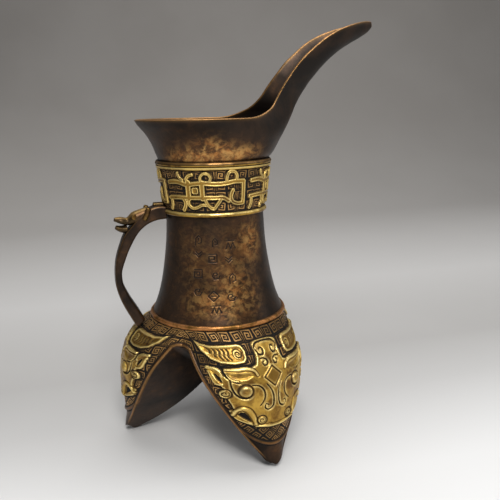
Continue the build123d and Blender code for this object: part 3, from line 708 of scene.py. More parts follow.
def leg_relief(s, z, gap):
    """Height above the bag and the marks: the mask is a raised plate with rolled rims, bosses and engraved lines;
    plaques, foot bead and borders are separate raised forms over the patterned ground."""
    side = -np.abs(s)
    work = Relief(side, z, GROUND_RISE)
    edge = work.plate(MASK, rise=1.05, rim=0.45, rim_width=0.5)
    bulge = 0.5 * np.exp(-(((side + 15.0) / 6.5) ** 2 + ((z - 46.0) / 7.0) ** 2))
    nose = 0.6 * bell(side, 4.2) * ease(z, 30.0, 40.0)
    work.height += (1 - ease(edge, -1.6, 0.0)) * (bulge + nose)
    work.dip(MOUTH_CORNER, depth=1.0, soft=0.5, dark=1.0)
    work.dip(BROW_RECESS, depth=0.65, soft=1.2, dark=0.25)
    for ridge in RIDGES.values():
        work.ridge(*ridge)
    for cut in CUTS.values():
        work.cut(*cut)
    for curl in CURLS:
        work.scroll(*curl, turns=1.6, start=0.2)

    diamond = outline_distance(s, z, DIAMOND)
    frame_line = bell(diamond + 0.1, 0.36)
    work.height = work.height + 0.22 * (1 - ease(np.abs(diamond - 0.6), 0.1, 0.5)) - 0.6 * frame_line
    work.darken(frame_line)
    work.boss(*EYE, foot=1.5, rise=1.7)
    inner_diamond = 1 - ease(diamond, -0.9, -0.5)

    plaque = outline_distance(side, z, PLAQUE)
    cleared = plaque < 1.2
    work.height = np.where(cleared, GROUND_RISE, work.height)
    work.gilt, work.hollow = np.where(cleared, 0.0, work.gilt), np.where(cleared, 0.0, work.hollow)
    work.plate(PLAQUE, rise=0.85, rim=0.5, rim_width=0.5)
    field = outline_distance(side, z, PLAQUE_FIELD)
    work.height -= 0.3 * (1 - ease(field, -0.3, 0.2))
    inside = 1 - ease(field, -0.2, 0.1)
    hatch = np.abs(((side * 0.95 + (z - 66.2) * 0.28 + 0.5 * np.sin(z * 1.3)) / 1.7) % 1.0 - 0.5) * 2.0
    hatched = ease(hatch, 0.45, 0.8) * (field < -0.3) * (side < -18.2)
    work.height -= 0.3 * hatched
    work.darken(0.85 * hatched)
    far, wave = work.spiral(*PLAQUE_SPIRAL, turns=1.9)
    disc = far < PLAQUE_SPIRAL[2]
    swirl = (1 - ease(wave, 0.10, 0.24)) * (far < PLAQUE_SPIRAL[2] * 1.05) * (far > 0.3)
    work.height = work.height + 0.25 * disc - 0.5 * swirl
    work.darken(swirl)

    bead_line = FOOT_BEAD_Z + FOOT_BEAD_BOW * s * s
    bead = np.abs(z - bead_line)
    below = GROUND_RISE * ease(z, bead_line - 2.0, bead_line)
    work.height = np.maximum(np.where(z < bead_line, below, work.height),
                             0.25 + 0.95 * dome(bead, FOOT_BEAD_HALF))
    foot_dark = (1 - ease(np.abs(bead - 1.5), 0.2, 0.7)) * 0.8
    work.hollow = np.maximum(np.where(z < bead_line, 0.0, work.hollow), foot_dark)
    copper = (1 - ease(bead, 0.3, 0.9)) * 0.25
    ground = ease(z - bead_line, 1.5, 1.9)

    border = dome(gap - ARCH_BEAD_HALF, ARCH_BEAD_HALF)
    raised = (gap < 2.3) * ease(z, 5.0, 14.0)
    work.height = np.where(gap < 2.35, np.maximum(work.height * ease(gap, 1.2, 2.3), 1.05 * border * raised),
                           work.height)
    work.hollow = np.where(gap < 2.1, 0.0, np.maximum(work.hollow, 0.9 * bell(gap - 2.8, 0.6) * ground))
    work.gilt *= ease(gap, 2.1, 2.4)
    ground = ground * ease(gap, 2.6, 3.0) * (1 - work.gilt)
    # Painted shade on the leg's top millimetre, under the shoulder bead
    work.darken(ease(z, SHOULDER_Z - 1.0, SHOULDER_Z - 0.2) * 0.9)
    # Ridges lighter, as rubbed gilding and as painted highlight, fewer of them on ungilt metal towards the bottom;
    # lows browner
    bright, worn = work.tones(reach=4)
    worn = np.maximum(worn, 0.9 * np.maximum(inner_diamond, inside * (1 - disc * 0.6)))
    bright = bright * (1 - 0.6 * (1 - work.gilt) * ease(-z, -30.0, -12.0))
    # A painted highlight along the arch bead's crest, tinted copper
    crest = bell(gap - ARCH_BEAD_HALF, 0.45) * raised
    bright = np.maximum(bright, 0.75 * crest)
    copper = np.maximum(copper, 0.45 * crest)
    return work.height, {"gilt": work.gilt, "ground": ground, "hollow": work.hollow, "copper": copper,
                         "bright": bright * (1 - work.hollow), "worn": worn}


def leg_skin(name, turn_degrees, material, nodes):
    """One leg: the ornamented outer face, as a grid of heights by angles round the bag, and the plain inner faces,
    ruled lines that run from the arch's outline on the outer face in to the leg's inner ridge."""
    skin = Skin(name)
    turn = math.radians(turn_degrees)
    rows = int(SHOULDER_Z / LEG_STEP)
    z = np.linspace(0.0, SHOULDER_Z, rows)
    limit = skin_limit(z)
    angle = limit[:, None] * np.linspace(-1, 1, LEG_COLUMNS)
    centre, radius = lobe_at(z)
    x = centre[:, None] + radius[:, None] * np.cos(angle)
    y = radius[:, None] * np.sin(angle)
    up = np.broadcast_to(z[:, None], x.shape)
    height, marks = leg_relief(y, up, arch_gap(x, y, up))
    lean = -np.gradient(centre + radius * 0.7, z)[:, None]
    out = np.stack([np.cos(angle), np.sin(angle), np.broadcast_to(lean * 0.6, x.shape)], axis=-1)
    out /= np.linalg.norm(out, axis=-1)[..., None]
    points = np.stack([x, y, up], axis=-1) + out * height[..., None]
    points[..., 2] = np.clip(points[..., 2], 0.0, SHOULDER_Z)
    around = (centre[:, None] + radius[:, None]) * np.arctan2(y, x)
    shoulder_cells = np.stack([around / SHOULDER_CELL[0] + 0.5, (up - 69.7) / SHOULDER_CELL[1]], axis=-1)
    foot_cells = np.stack([y + up, y - up], axis=-1) / FOOT_CELL
    cells = np.where(up[..., None] < FOOT_CELLS_BELOW, foot_cells, shoulder_cells)
    skin.grid(turned(points, turn), flip=True, marks=marks, cells=cells)

    across = np.concatenate([np.linspace(0, 8, 30), np.linspace(8, SOLE_REACH * HALF_SIN, 90)[1:]])
    inner = across / math.tan(HALF)

    def ruled(along):
        """Places in the plane of the arch at distances out along the valley."""
        return (along * HALF_COS + across * HALF_SIN, along * HALF_SIN - across * HALF_COS,
                arch_height(across) + ARCH_RISE * along)

    def within(along):
        px, py, level = ruled(along)
        centre, radius = lobe_at(np.clip(level, 0, SHOULDER_Z))
        return np.hypot(px - centre, py) < radius

    outer, _ = halved(inner.copy(), np.full_like(inner, 80.0), within, 40)
    px, py, level = ruled(inner + (outer - inner) * np.linspace(0, 1, 40)[:, None])
    for side in (-1, 1):
        points = np.stack([px, py * side, np.clip(level, 0, None)], axis=-1)
        skin.grid(turned(points, turn), flip=side > 0)

    sole = skin_limit(np.array([0.0]))[0]
    edge = np.linspace(-sole, sole, 24)
    c0, r0 = lobe_at(np.array([0.0]))
    arc = np.stack([c0 + r0 * np.cos(edge), r0 * np.sin(edge), np.zeros_like(edge)], axis=-1)
    ridge = np.broadcast_to(np.array([SOLE_REACH, 0.0, 0.0]), arc.shape)
    skin.grid(turned(np.stack([arc, ridge]), turn), flip=True)
    skin.build(material, nodes)


def turned(points, turn):
    """Points turned about the upright axis."""
    c, s = math.cos(turn), math.sin(turn)
    x, y = points[..., 0], points[..., 1]
    return np.stack([x * c - y * s, x * s + y * c, points[..., 2]], axis=-1)


# Neck, beads and frieze


def bead_rows(seat_r, low_z):
    """A bead's section: straight lands, then a half circle."""
    half = BEAD_HEIGHT / 2
    turn = np.linspace(-np.pi / 2, np.pi / 2, 18)
    out = seat_r + BEAD_REACH - half
    radius = np.concatenate([[seat_r], out + half * np.cos(turn), [seat_r]])
    height = np.concatenate([[low_z], low_z + half + half * np.sin(turn), [low_z + 2 * half]])
    return radius, height


def bead_ring(name, seat_r, low_z, material, node, gilt_low, gilt_high):
    """A bead as a ring whose reach waves a little, as hand finished metal does, gilt between two shares of its
    height, or all copper where the higher one is below 0."""
    turns = full_turn(360)
    radius, height = bead_rows(seat_r, low_z)
    wobble = 0.10 * np.sin(turns * 17 + 1.0) + 0.08 * np.sin(turns * 29)
    outer = (radius - seat_r)[:, None] / BEAD_REACH
    points = ring_points(radius[:, None] + wobble * outer - 0.12 * outer, height[:, None] + 0 * turns, turns)
    up = (height - low_z)[:, None] / BEAD_HEIGHT + 0 * turns
    soft = 0.12
    skin = Skin(name)
    skin.grid(points, around=True, marks={
        "gilt": ease(up, gilt_low - soft, gilt_low + soft) * (1 - ease(up, gilt_high - soft, gilt_high + soft)),
        "copper": 0.0 if gilt_high > 0 else 1.0,
        # Painted highlight on the upper part of the round
        "bright": ease(up, 0.45, 0.75) * (1 - ease(up, 0.85, 1.0)),
        # The lower part browner: painted shade on the underside
        "worn": 1 - ease(up, 0.1, 0.5),
        # Painted shade in the corners where the bead meets the wall
        "hollow": 0.8 * (1 - ease(np.minimum(up, 1 - up), 0.0, soft)),
    })
    skin.build(material, (node,))


# The frieze's dragon as strokes: half width in millimetres, then points as degrees round from the dragon's middle and
# share of the band's height
DRAGON = {
    "rail": (1.35, ((-39.5, 0.66), (-27.6, 0.67), (-17.8, 0.62), (-8.9, 0.64), (-1.3, 0.65), (10.2, 0.63),
                    (21.7, 0.64), (30.1, 0.67), (40.0, 0.665))),
    "drop": (1.2, ((40.0, 0.665), (40.2, 0.44), (40.0, 0.23))),
    "hook": (1.15, ((40.0, 0.235), (33.6, 0.23), (28.4, 0.28), (26.9, 0.38), (28.8, 0.5))),
    "arch": (0.95, ((22.5, 0.65), (22.9, 0.78), (25.0, 0.86), (30.1, 0.86), (32.7, 0.78), (32.0, 0.70))),
    "crest": (0.85, ((-2.6, 0.66), (-3.2, 0.77), (0.0, 0.835), (4.5, 0.82), (6.6, 0.74), (5.7, 0.69))),
    "horn": (0.95, ((-16.0, 0.65), (-17.7, 0.72), (-15.4, 0.79), (-11.6, 0.815))),
    "tick": (0.85, ((-27.1, 0.85), (-26.2, 0.78), (-22.1, 0.71))),
    "head left": (1.55, ((-16.4, 0.66), (-16.6, 0.34))),
    "head right": (1.45, ((-2.2, 0.66), (-1.9, 0.34))),
    "jaw": (1.25, ((-40.8, 0.345), (-27.6, 0.36), (-16.0, 0.36), (-1.3, 0.36), (10.2, 0.355), (20.5, 0.345),
                   (24.2, 0.29))),
    "claw one": (1.0, ((-39.9, 0.34), (-38.9, 0.22), (-41.2, 0.11))),
    "claw two": (1.15, ((-23.1, 0.35), (-20.8, 0.24), (-23.7, 0.11))),
    "foot": (0.95, ((-16.5, 0.34), (-16.9, 0.22), (-13.3, 0.155), (-7.6, 0.17), (-3.0, 0.215), (1.6, 0.21))),
    "limb": (1.0, ((0.4, 0.34), (5.3, 0.175), (9.0, 0.135), (12.2, 0.21), (16.5, 0.32))),
}
# Where the first dragon's middle stands and how far it is to the next, in degrees
DRAGON_FIRST, DRAGON_TURN = -112.5, 90.0
# The dragon's eye, a square with its corners rounded: its middle, half its side and the corners' reach
DRAGON_EYE, DRAGON_EYE_HALF, DRAGON_EYE_R = (-9.3, 0.5), 1.9, 2.2
# The radius at which degrees on the frieze count as millimetres; the mesh; the spirals' count round and their height
FRIEZE_ARC_R = 30.0
FRIEZE_ROWS, FRIEZE_COLUMNS = 104, 820
FRIEZE_CELLS, FRIEZE_CELL_HEIGHT = 32.0, 5.6


def frieze_radius(z):
    """The wall's radius at a height, on a straight line from bead to bead."""
    return FRIEZE_LOW_R + (FRIEZE_HIGH_R - FRIEZE_LOW_R) * (z - FRIEZE_LOW_Z) / (FRIEZE_HIGH_Z - FRIEZE_LOW_Z)


def frieze_skin(material):
    """The band between the beads: dragons as raised strokes with rolled rims over a patterned ground, under a thin
    gilt step."""
    low, high = FRIEZE_LOW_Z + BEAD_HEIGHT / 2, FRIEZE_HIGH_Z - BEAD_HEIGHT / 2
    span = FRIEZE_HIGH_Z - FRIEZE_LOW_Z
    z = np.linspace(low, high, FRIEZE_ROWS)[:, None]
    turns = full_turn(FRIEZE_COLUMNS)
    degrees = np.degrees(turns)
    local = (degrees - DRAGON_FIRST + DRAGON_TURN / 2) % DRAGON_TURN - DRAGON_TURN / 2
    x, y = np.broadcast_arrays(np.radians(local) * FRIEZE_ARC_R, z - FRIEZE_LOW_Z)
    figure = np.full(x.shape, FAR)
    for width, line in DRAGON.values():
        path = np.array([(math.radians(angle) * FRIEZE_ARC_R, share * span) for angle, share in line])
        if len(path) > 2:
            path = through(path, 4 * len(path))
        for shift in (-1, 0, 1):
            gap = line_distance(x + shift * math.radians(DRAGON_TURN) * FRIEZE_ARC_R, y, path)[0]
            figure = np.minimum(figure, gap - width)
    eye_x, eye_y = x - math.radians(DRAGON_EYE[0]) * FRIEZE_ARC_R, y - DRAGON_EYE[1] * span
    eye = np.maximum(np.maximum(np.abs(eye_x), np.abs(eye_y)) - DRAGON_EYE_HALF,
                     np.hypot(eye_x, eye_y) - DRAGON_EYE_R)
    figure = np.minimum(figure, eye)
    raised = 1 - ease(figure, -0.35, 0.15)
    roll = bell(figure + 0.40, 0.30)
    pupil = bell(eye + 1.5, 0.5)
    height = 0.12 + raised * 0.80 + 0.30 * roll * raised - 0.40 * pupil * (eye < 0)
    gilt = 1 - ease(figure, -0.15, 0.15)
    hollow = bell(figure - 0.55, 0.5) * 0.95
    hollow = np.maximum(hollow, 0.8 * pupil * (eye < 0) * (eye > -1.2))
    # Painted shade along the band's bottom, above the low bead
    hollow = np.maximum(hollow, (1 - ease(z - low, 0.0, 1.2)) * 0.9 * (1 - gilt))
    step = ease(z, high - 1.45, high - 1.15)
    height = np.maximum(height, step * 1.05)
    gilt = np.maximum(gilt, step)
    # Painted shade in a line under the gilt step
    hollow = np.maximum(hollow * (1 - step), bell(z - high + 1.75, 0.35) * 0.9 * (1 - gilt))
    # Dragons' rims lighter, as rubbed gilding and as painted highlight; the step's top a painted highlight
    bright = np.maximum(roll * raised, 0.8 * step * ease(z, high - 1.1, high - 0.5))
    points = ring_points(frieze_radius(z) + height, z + 0 * turns, turns)
    cells = np.stack(np.broadcast_arrays(degrees / 360.0 * FRIEZE_CELLS, (z - low - 0.3) / FRIEZE_CELL_HEIGHT),
                     axis=-1)
    skin = Skin("Frieze_ground_and_dragons")
    skin.grid(points, around=True, cells=cells, marks={"gilt": gilt, "ground": 1 - gilt, "hollow": hollow,
                                                       "bright": bright, "worn": 0.75 * ease(-figure, 0.6, 1.0)})
    # Flat rings from the band to the beads, in painted shade
    for radii, at in (((WAIST_R - 0.1, frieze_radius(low) + 0.12), low),
                      ((frieze_radius(high) + 1.05, TOP_SEAT_R - 0.1), high)):
        skin.grid(ring_points(radii, (at, at), full_turn(180)), around=True, marks={"hollow": 0.9})
    skin.build(material, [f"frieze_dragon_{number}" for number in (1, 2, 3, 4)])


# Small generic signs in three columns on the front of the neck: the columns' angles, the sizes in turn, the highest
# sign's top, the steps down from sign to sign and from column to column, and each sign's strokes in a unit square
SIGN_COLUMNS, SIGN_SIZES = (-122.0, -105.0, -88.0), (5.4, 4.4)
SIGN_TOP, SIGN_STEP, COLUMN_STEP = 126.0, 9.4, 1.6
SIGNS = (
    (((0.1, 0.9), (0.9, 0.9), (0.9, 0.1), (0.1, 0.1), (0.1, 0.65), (0.65, 0.65), (0.65, 0.35), (0.35, 0.35)),),
    (((0.5, 1.0), (1.0, 0.5), (0.5, 0.0), (0.0, 0.5), (0.5, 1.0)), ((0.3, 0.5), (0.7, 0.5))),
    (((0.1, 0.85), (0.5, 0.5), (0.9, 0.85)), ((0.1, 0.5), (0.5, 0.15), (0.9, 0.5))),
    (((0.0, 0.2), (0.25, 0.8), (0.5, 0.2), (0.75, 0.8), (1.0, 0.2)), ((0.1, 1.0), (0.9, 1.0))),
    (((0.5, 0.5), (0.7, 0.6), (0.6, 0.85), (0.25, 0.8), (0.1, 0.45), (0.35, 0.1), (0.8, 0.12), (0.98, 0.5)),),
    (((0.2, 0.0), (0.2, 0.7), (0.5, 1.0), (0.8, 0.7), (0.8, 0.3), (0.5, 0.2)), ((0.5, 0.55), (0.5, 0.7))),
)
# The neck's rows, and its columns from angle to angle with their count: close together where the signs are
NECK_ROWS, NECK_FINE, NECK_COARSE = 225, (-140, -70, 281), (-70, 220, 111)
# The radius at which degrees on the neck count as millimetres
NECK_ARC_R = 29.0
# Places rubbed bright, and places painted darker, of which the broad one down the side seen on the left is painted
# shade and the two small ones darker places: angle, height, spread round in degrees, spread up, amount
NECK_RUBS = ((-60.0, 121.0, 14.0, 9.0, 0.95), (-84.0, 92.0, 17.0, 10.0, 1.0), (-117.0, 88.0, 15.0, 6.0, 0.8),
             (-92.0, 110.0, 26.0, 15.0, 0.30), (-132.0, 112.0, 14.0, 16.0, 0.28), (70.0, 100.0, 50.0, 18.0, 0.4))
NECK_SHADE_AND_DARK_PLACES = ((-152.0, 105.0, 20.0, 40.0, 0.50), (-106.0, 122.0, 9.0, 9.0, 0.22), (-66.0, 105.0, 9.0, 6.0, 0.30))


def neck_body(material):
    """The neck: its side curve turned about the axis, with rows of small cut signs on the front."""
    z = np.linspace(NECK[0, 0], NECK[-1, 0], NECK_ROWS)[:, None]
    turns = np.radians(np.concatenate([np.linspace(*NECK_FINE)[:-1], np.linspace(*NECK_COARSE)]))
    radius = smooth_curve(z, NECK[:, 0], NECK[:, 1])
    degrees = (np.degrees(turns) + 180.0) % 360.0 - 180.0
    x, y = np.broadcast_arrays(np.radians(degrees) * NECK_ARC_R, z)
    gap = np.full(x.shape, FAR)
    order = np.random.default_rng(7)
    for column, angle in enumerate(SIGN_COLUMNS):
        picks = order.permutation(len(SIGNS))
        for number in range(4 + column % 2):
            size = SIGN_SIZES[(number + column) % 2]
            left = math.radians(angle) * NECK_ARC_R - size / 2 + 0.8 * math.sin(3.1 * number + column)
            top = SIGN_TOP - number * SIGN_STEP - column * COLUMN_STEP - 0.9 * math.cos(2.3 * number)
            for stroke in SIGNS[picks[number]]:
                path = [(left + u * size, top - size + v * size) for u, v in stroke]
                gap = np.minimum(gap, line_distance(x, y, path)[0])
    cut = 1 - ease(gap, 0.15, 0.48)
    tool = 0.02 * np.sin(y * 1.3 + x * 0.8 + 2 * np.sin(x * 0.09)) + 0.05 * np.sin(x * 0.31 + y * 0.23)
    points = ring_points(radius - 0.28 * cut + tool * 0.5 - 0.05, z + 0 * turns, turns)
    skin = Skin("Neck")
    # Dark fill in the cut signs; painted shade down the neck's side and two small darker places
    skin.grid(points, around=True, marks={"hollow": np.maximum(cut * 0.95, rubbed(points, NECK_SHADE_AND_DARK_PLACES)),
                                          "rub": rubbed(points, NECK_RUBS)})
    inner = radius[::5] - WALL
    inner[0] = SHOULDER_R - WALL - 0.2
    # The inner wall in painted shade
    skin.grid(ring_points(inner, z[::5] + 0 * full_turn(120), full_turn(120)), around=True, flip=True,
              marks={"hollow": 0.5})
    skin.build(material, ("neck",))


# The mouth and spout


# The spout's rings from bottom to top: front point and back point, each out in shares of the spout's reach and up in
# shares of the rise from the frieze to the tip; half width in shares of the rim's; pinch of the front half
HORN = np.array([
    (0.354, 0.060, -0.333, 0.060, 0.795, 0.00), (0.389, 0.135, -0.355, 0.135, 0.837, 0.03),
    (0.425, 0.209, -0.388, 0.209, 0.899, 0.09), (0.457, 0.275, -0.436, 0.287, 0.960, 0.22),
    (0.485, 0.335, -0.462, 0.377, 0.983, 0.38), (0.500, 0.371, -0.435, 0.464, 0.948, 0.50),
    (0.517, 0.408, -0.350, 0.563, 0.852, 0.58), (0.534, 0.446, -0.208, 0.656, 0.723, 0.57),
    (0.554, 0.485, -0.050, 0.734, 0.598, 0.48), (0.575, 0.523, 0.090, 0.798, 0.504, 0.38),
    (0.597, 0.562, 0.209, 0.846, 0.442, 0.28), (0.649, 0.638, 0.377, 0.939, 0.405, 0.13),
    (0.708, 0.713, 0.495, 1.014, 0.407, 0.05), (0.774, 0.780, 0.601, 1.062, 0.405, 0.00),
    (0.844, 0.834, 0.706, 1.084, 0.368, 0.00), (0.912, 0.879, 0.808, 1.093, 0.294, 0.00),
    (0.964, 0.918, 0.895, 1.082, 0.198, 0.00), (0.996, 0.956, 0.964, 1.048, 0.084, 0.00),
])
# The rim's line: out in shares of the spout's reach, up in shares of the rise from the rim to the tip
RIM = np.array([
    (0.105, 0.000), (0.180, 0.015), (0.250, 0.062), (0.297, 0.115), (0.344, 0.215), (0.385, 0.327), (0.438, 0.456),
    (0.500, 0.590), (0.563, 0.692), (0.635, 0.796), (0.713, 0.875), (0.792, 0.931), (0.875, 0.972), (0.950, 0.995),
    (1.040, 1.000),
])


def horn_rings(inwards):
    """The bent horn's rings, bottom up: a circle, then closed rounds between a front and a back point. Each has its
    middle, its direction to the front, its depth, its half width and its pinch."""
    rise = SPOUT_TIP_Z - FRIEZE_HIGH_Z
    front, back = (np.stack([HORN[:, at] * SPOUT_REACH, FRIEZE_HIGH_Z + HORN[:, at + 1] * rise], axis=1)
                   for at in (0, 2))
    reach = np.linalg.norm(front - back, axis=1) / 2
    rings = np.column_stack([(front + back) / 2, (front - back) / (2 * reach[:, None]), reach - inwards,
                             HORN[:, 4] * RIM_SIDE_R - inwards, HORN[:, 5]])
    seat_r = TOP_SEAT_R - inwards
    return np.vstack([[0.0, FRIEZE_HIGH_Z + BEAD_HEIGHT / 2, 1.0, 0.0, seat_r, seat_r, 0.0], rings])


def horn_points(inwards, rows, turn):
    """The horn's surface, smooth from ring to ring, at row positions from 0 to the last and angles from the front:
    out from the middle by the depth times the cosine, across by the half width times the sine, pinched in front."""
    rings = horn_rings(inwards)
    mx, mz, wx, wz, depth, width, pinch = (smooth_curve(rows, np.arange(len(rings)), column) for column in rings.T)
    size = np.hypot(wx, wz)
    wx, wz = wx / size, wz / size
    cosine, sine = np.cos(turn), np.sin(turn)
    across = width * sine * (1 - pinch * cosine)
    return np.stack([mx + wx * depth * cosine, across, mz + wz * depth * cosine], axis=-1)


def rim_height(x):
    """The rim's height at a distance along the spout's line."""
    rise = SPOUT_TIP_Z - RIM_Z
    known_x, known_z = RIM[:, 0] * SPOUT_REACH, RIM_Z + RIM[:, 1] * rise
    curve = smooth_curve(np.clip(x, known_x[0], known_x[-1]), known_x, known_z)
    return np.where(x < known_x[0], RIM_Z, curve)


def lip_height(x):
    """The height at which the walls end, so that the rounded lip on them just reaches the rim."""
    return rim_height(x) - LIP_RISE


def below_lip(inwards, rows, turn):
    """Whether the horn's points lie below the height at which its walls end."""
    points = horn_points(inwards, rows, turn)
    return ~(points[..., 2] > lip_height(points[..., 0]))


def rim_turn(inwards, rows):
    """For each row, the angle from the front at which its ring reaches the rim, or half a turn if it never does:
    the first crossing of a scan, made finer by halving steps."""
    scan = np.linspace(0, np.pi, 361)
    above = ~below_lip(inwards, rows[:, None], scan[None, :])
    first = np.where(above.any(axis=1), above.argmax(axis=1), len(scan) - 1)
    low, high = halved(scan[np.maximum(first - 1, 0)], scan[first], lambda turn: below_lip(inwards, rows, turn), 30)
    return np.where(above.any(axis=1), (low + high) / 2, np.pi)


def first_cut_row(inwards):
    """The row whose back point lies on the rim."""
    low, high = halved(0.0, RING_PAST_RIM, lambda row: below_lip(inwards, np.array(row), np.array(np.pi)), 50)
    return (low + high) / 2


def rubbed(points, spots):
    """Bell curves of the angle round the axis and of the height, summed: a mark for places that hands rubbed bright,
    and for the places painted darker, the neck's painted shade among them.
    """
    degrees = np.degrees(np.arctan2(points[..., 1], points[..., 0]))
    total = np.zeros(degrees.shape)
    for angle, z, wide, tall, amount in spots:
        total += amount * np.exp(-(((degrees - angle + 180) % 360 - 180) / wide) ** 2
                                 - ((points[..., 2] - z) / tall) ** 2)
    return np.clip(total, 0, 1)


# How far the rounded lip stands above the walls' ends
LIP_RISE = 0.5
# A ring whose back point lies past the rim for certain
RING_PAST_RIM = 8.0
LOWER_ROWS, UPPER_ROWS, MOUTH_COLUMNS = 30, 150, 180
# Places rubbed bright: angle, height, spread round in degrees, spread up, amount
MOUTH_RUBS = ((-108.0, 167.5, 30.0, 5.0, 1.0), (-76.0, 168.0, 18.0, 4.0, 0.7), (-104.0, 173.0, 12.0, 5.0, 0.6),
              (-140.0, 166.0, 14.0, 3.0, 0.5), (75.0, 168.0, 40.0, 5.0, 0.6))


def mouth_body(material):
    """The mouth and spout: the horn outside and inside, as closed rings up to the rim's lowest point and from there
    as open rings that end at the rim, with a rounded lip between the two skins."""
    share, around = np.linspace(0, 1, UPPER_ROWS), np.linspace(-1, 1, MOUTH_COLUMNS + 1)
    skin = Skin("Mouth_and_spout")
    edges, ends = [], []
    for inwards, flip in ((0.0, False), (WALL, True)):
        start = first_cut_row(inwards)
        lower = horn_points(inwards, np.linspace(0, start, LOWER_ROWS)[:, None],
                            np.linspace(-np.pi, np.pi, MOUTH_COLUMNS + 1)[None])
        rows = start + (len(HORN) - start) * share ** 2
        reach = rim_turn(inwards, rows)
        reach[0] = np.pi
        upper = horn_points(inwards, rows[:, None], reach[:, None] * around)
        upper[0] = lower[-1]
        for points in (lower, upper):
            # A painted highlight along the rim; the upper mouth painted darker as a dark reflection, less on the
            # inner face
            near_rim = np.exp(-np.abs(points[..., 2] - lip_height(points[..., 0])) / 0.5)
            painted_dark_reflection = 0.42 * ease(points[..., 2], 170.0, 182.0) * (1 - near_rim)
            marks = {"rub": rubbed(points, MOUTH_RUBS) * (0.0 if flip else 1.0), "bright": 0.5 * near_rim,
                     "hollow": painted_dark_reflection * (0.4 if flip else 1.0)}
            skin.grid(points, around=points is lower, flip=flip, marks=marks)
        edges.append((upper[:, 0], upper[:, -1]))
        ends.append(upper[-1])
    step = np.linspace(0, 1, 9)[:, None, None]
    sides = [(edges[0][side], edges[1][side], side == 1, LIP_RISE) for side in (0, 1)]
    for outer, inner, flip, rise in (*sides, (*ends, False, 0.0)):
        lip = outer * (1 - step) + inner * step
        lip[..., 2] += rise * np.sin(np.pi * step[..., 0])
        # The lip: a painted highlight, tinted copper
        skin.grid(lip, flip=flip, marks={"bright": 1.0, "copper": 0.4})
    skin.build(material, ("mouth_and_spout",), weld=True)


# Handle


STRAP_INNER = [(-28.4, 131.7), (-33.7, 131.2), (-38.7, 129.4), (-42.7, 126.5), (-48.5, 118.2), (-52.3, 110.0),
               (-54.6, 102.7), (-54.4, 97.4), (-51.6, 89.8), (-46.6, 80.6), (-43.6, 74.6)]
STRAP_OUTER = [(-28.4, 139.3), (-34.6, 139.3), (-38.1, 138.0), (-43.2, 134.4), (-47.5, 129.8), (-52.2, 124.5),
               (-55.0, 118.2), (-57.4, 110.9), (-58.6, 101.7), (-58.4, 95.1), (-56.8, 88.5), (-54.5, 82.6),
               (-51.3, 76.0), (-48.6, 70.7)]
STRAP_HALF_WIDTH = 4.75
# Sine and cosine to this power give the strap's rounded rectangle
STRAP_SQUARE = 0.42


def strap_body(material):
    """The strap: rounded rectangles carried between an inner and an outer line."""
    rows = 160
    inner, outer = through(STRAP_INNER, rows), through(STRAP_OUTER, rows)
    middle, half = (inner + outer) / 2, np.linalg.norm(outer - inner, axis=1) / 2
    way = (outer - inner) / (2 * half[:, None])
    turn = full_turn(64)
    wide, thick = (np.sign(part) * np.abs(part) ** STRAP_SQUARE for part in (np.cos(turn), np.sin(turn)))
    across = wide * STRAP_HALF_WIDTH
    flute = 0.35 * bell(across, 1.5) * (thick > 0.6)
    along = middle[:, None] + way[:, None] * (half[:, None] * thick - flute)[..., None]
    points = np.stack([along[..., 0], np.broadcast_to(across, along.shape[:2]), along[..., 1]], axis=-1)
    # Painted highlight along the strap's edges, through the bright and rub marks
    edge = ease(np.abs(wide), 0.80, 0.97) * ease(np.abs(thick), 0.70, 0.95)
    skin = Skin("Handle_strap")
    skin.grid(points, around=True, marks={"bright": edge * 0.8, "rub": edge * 0.5}, close_start=True, close_end=True)
    skin.build(material, ("handle_strap",))


# The head's middle line, and shares of the way along it with the section's height above it, depth below it and half
# width there; then the lower jaw's line and its radii
HEAD_LINE = [(-38.0, 135.6), (-42.0, 134.4), (-46.0, 132.6), (-50.0, 131.2), (-54.0, 131.8), (-57.0, 132.6)]
HEAD_SHARES = [0, 0.2, 0.42, 0.6, 0.85, 1.0]
HEAD_SECTIONS = ([3.2, 3.3, 3.6, 2.3, 2.2, 1.2], [3.5, 3.4, 3.0, 2.2, 1.3, 0.8], [4.0, 4.3, 4.5, 3.4, 3.6, 2.2])
JAW_LINE, JAW_RADII = [(-50.2, 127.2), (-53.6, 127.3), (-56.4, 128.4)], [2.3, 1.9, 1.1]


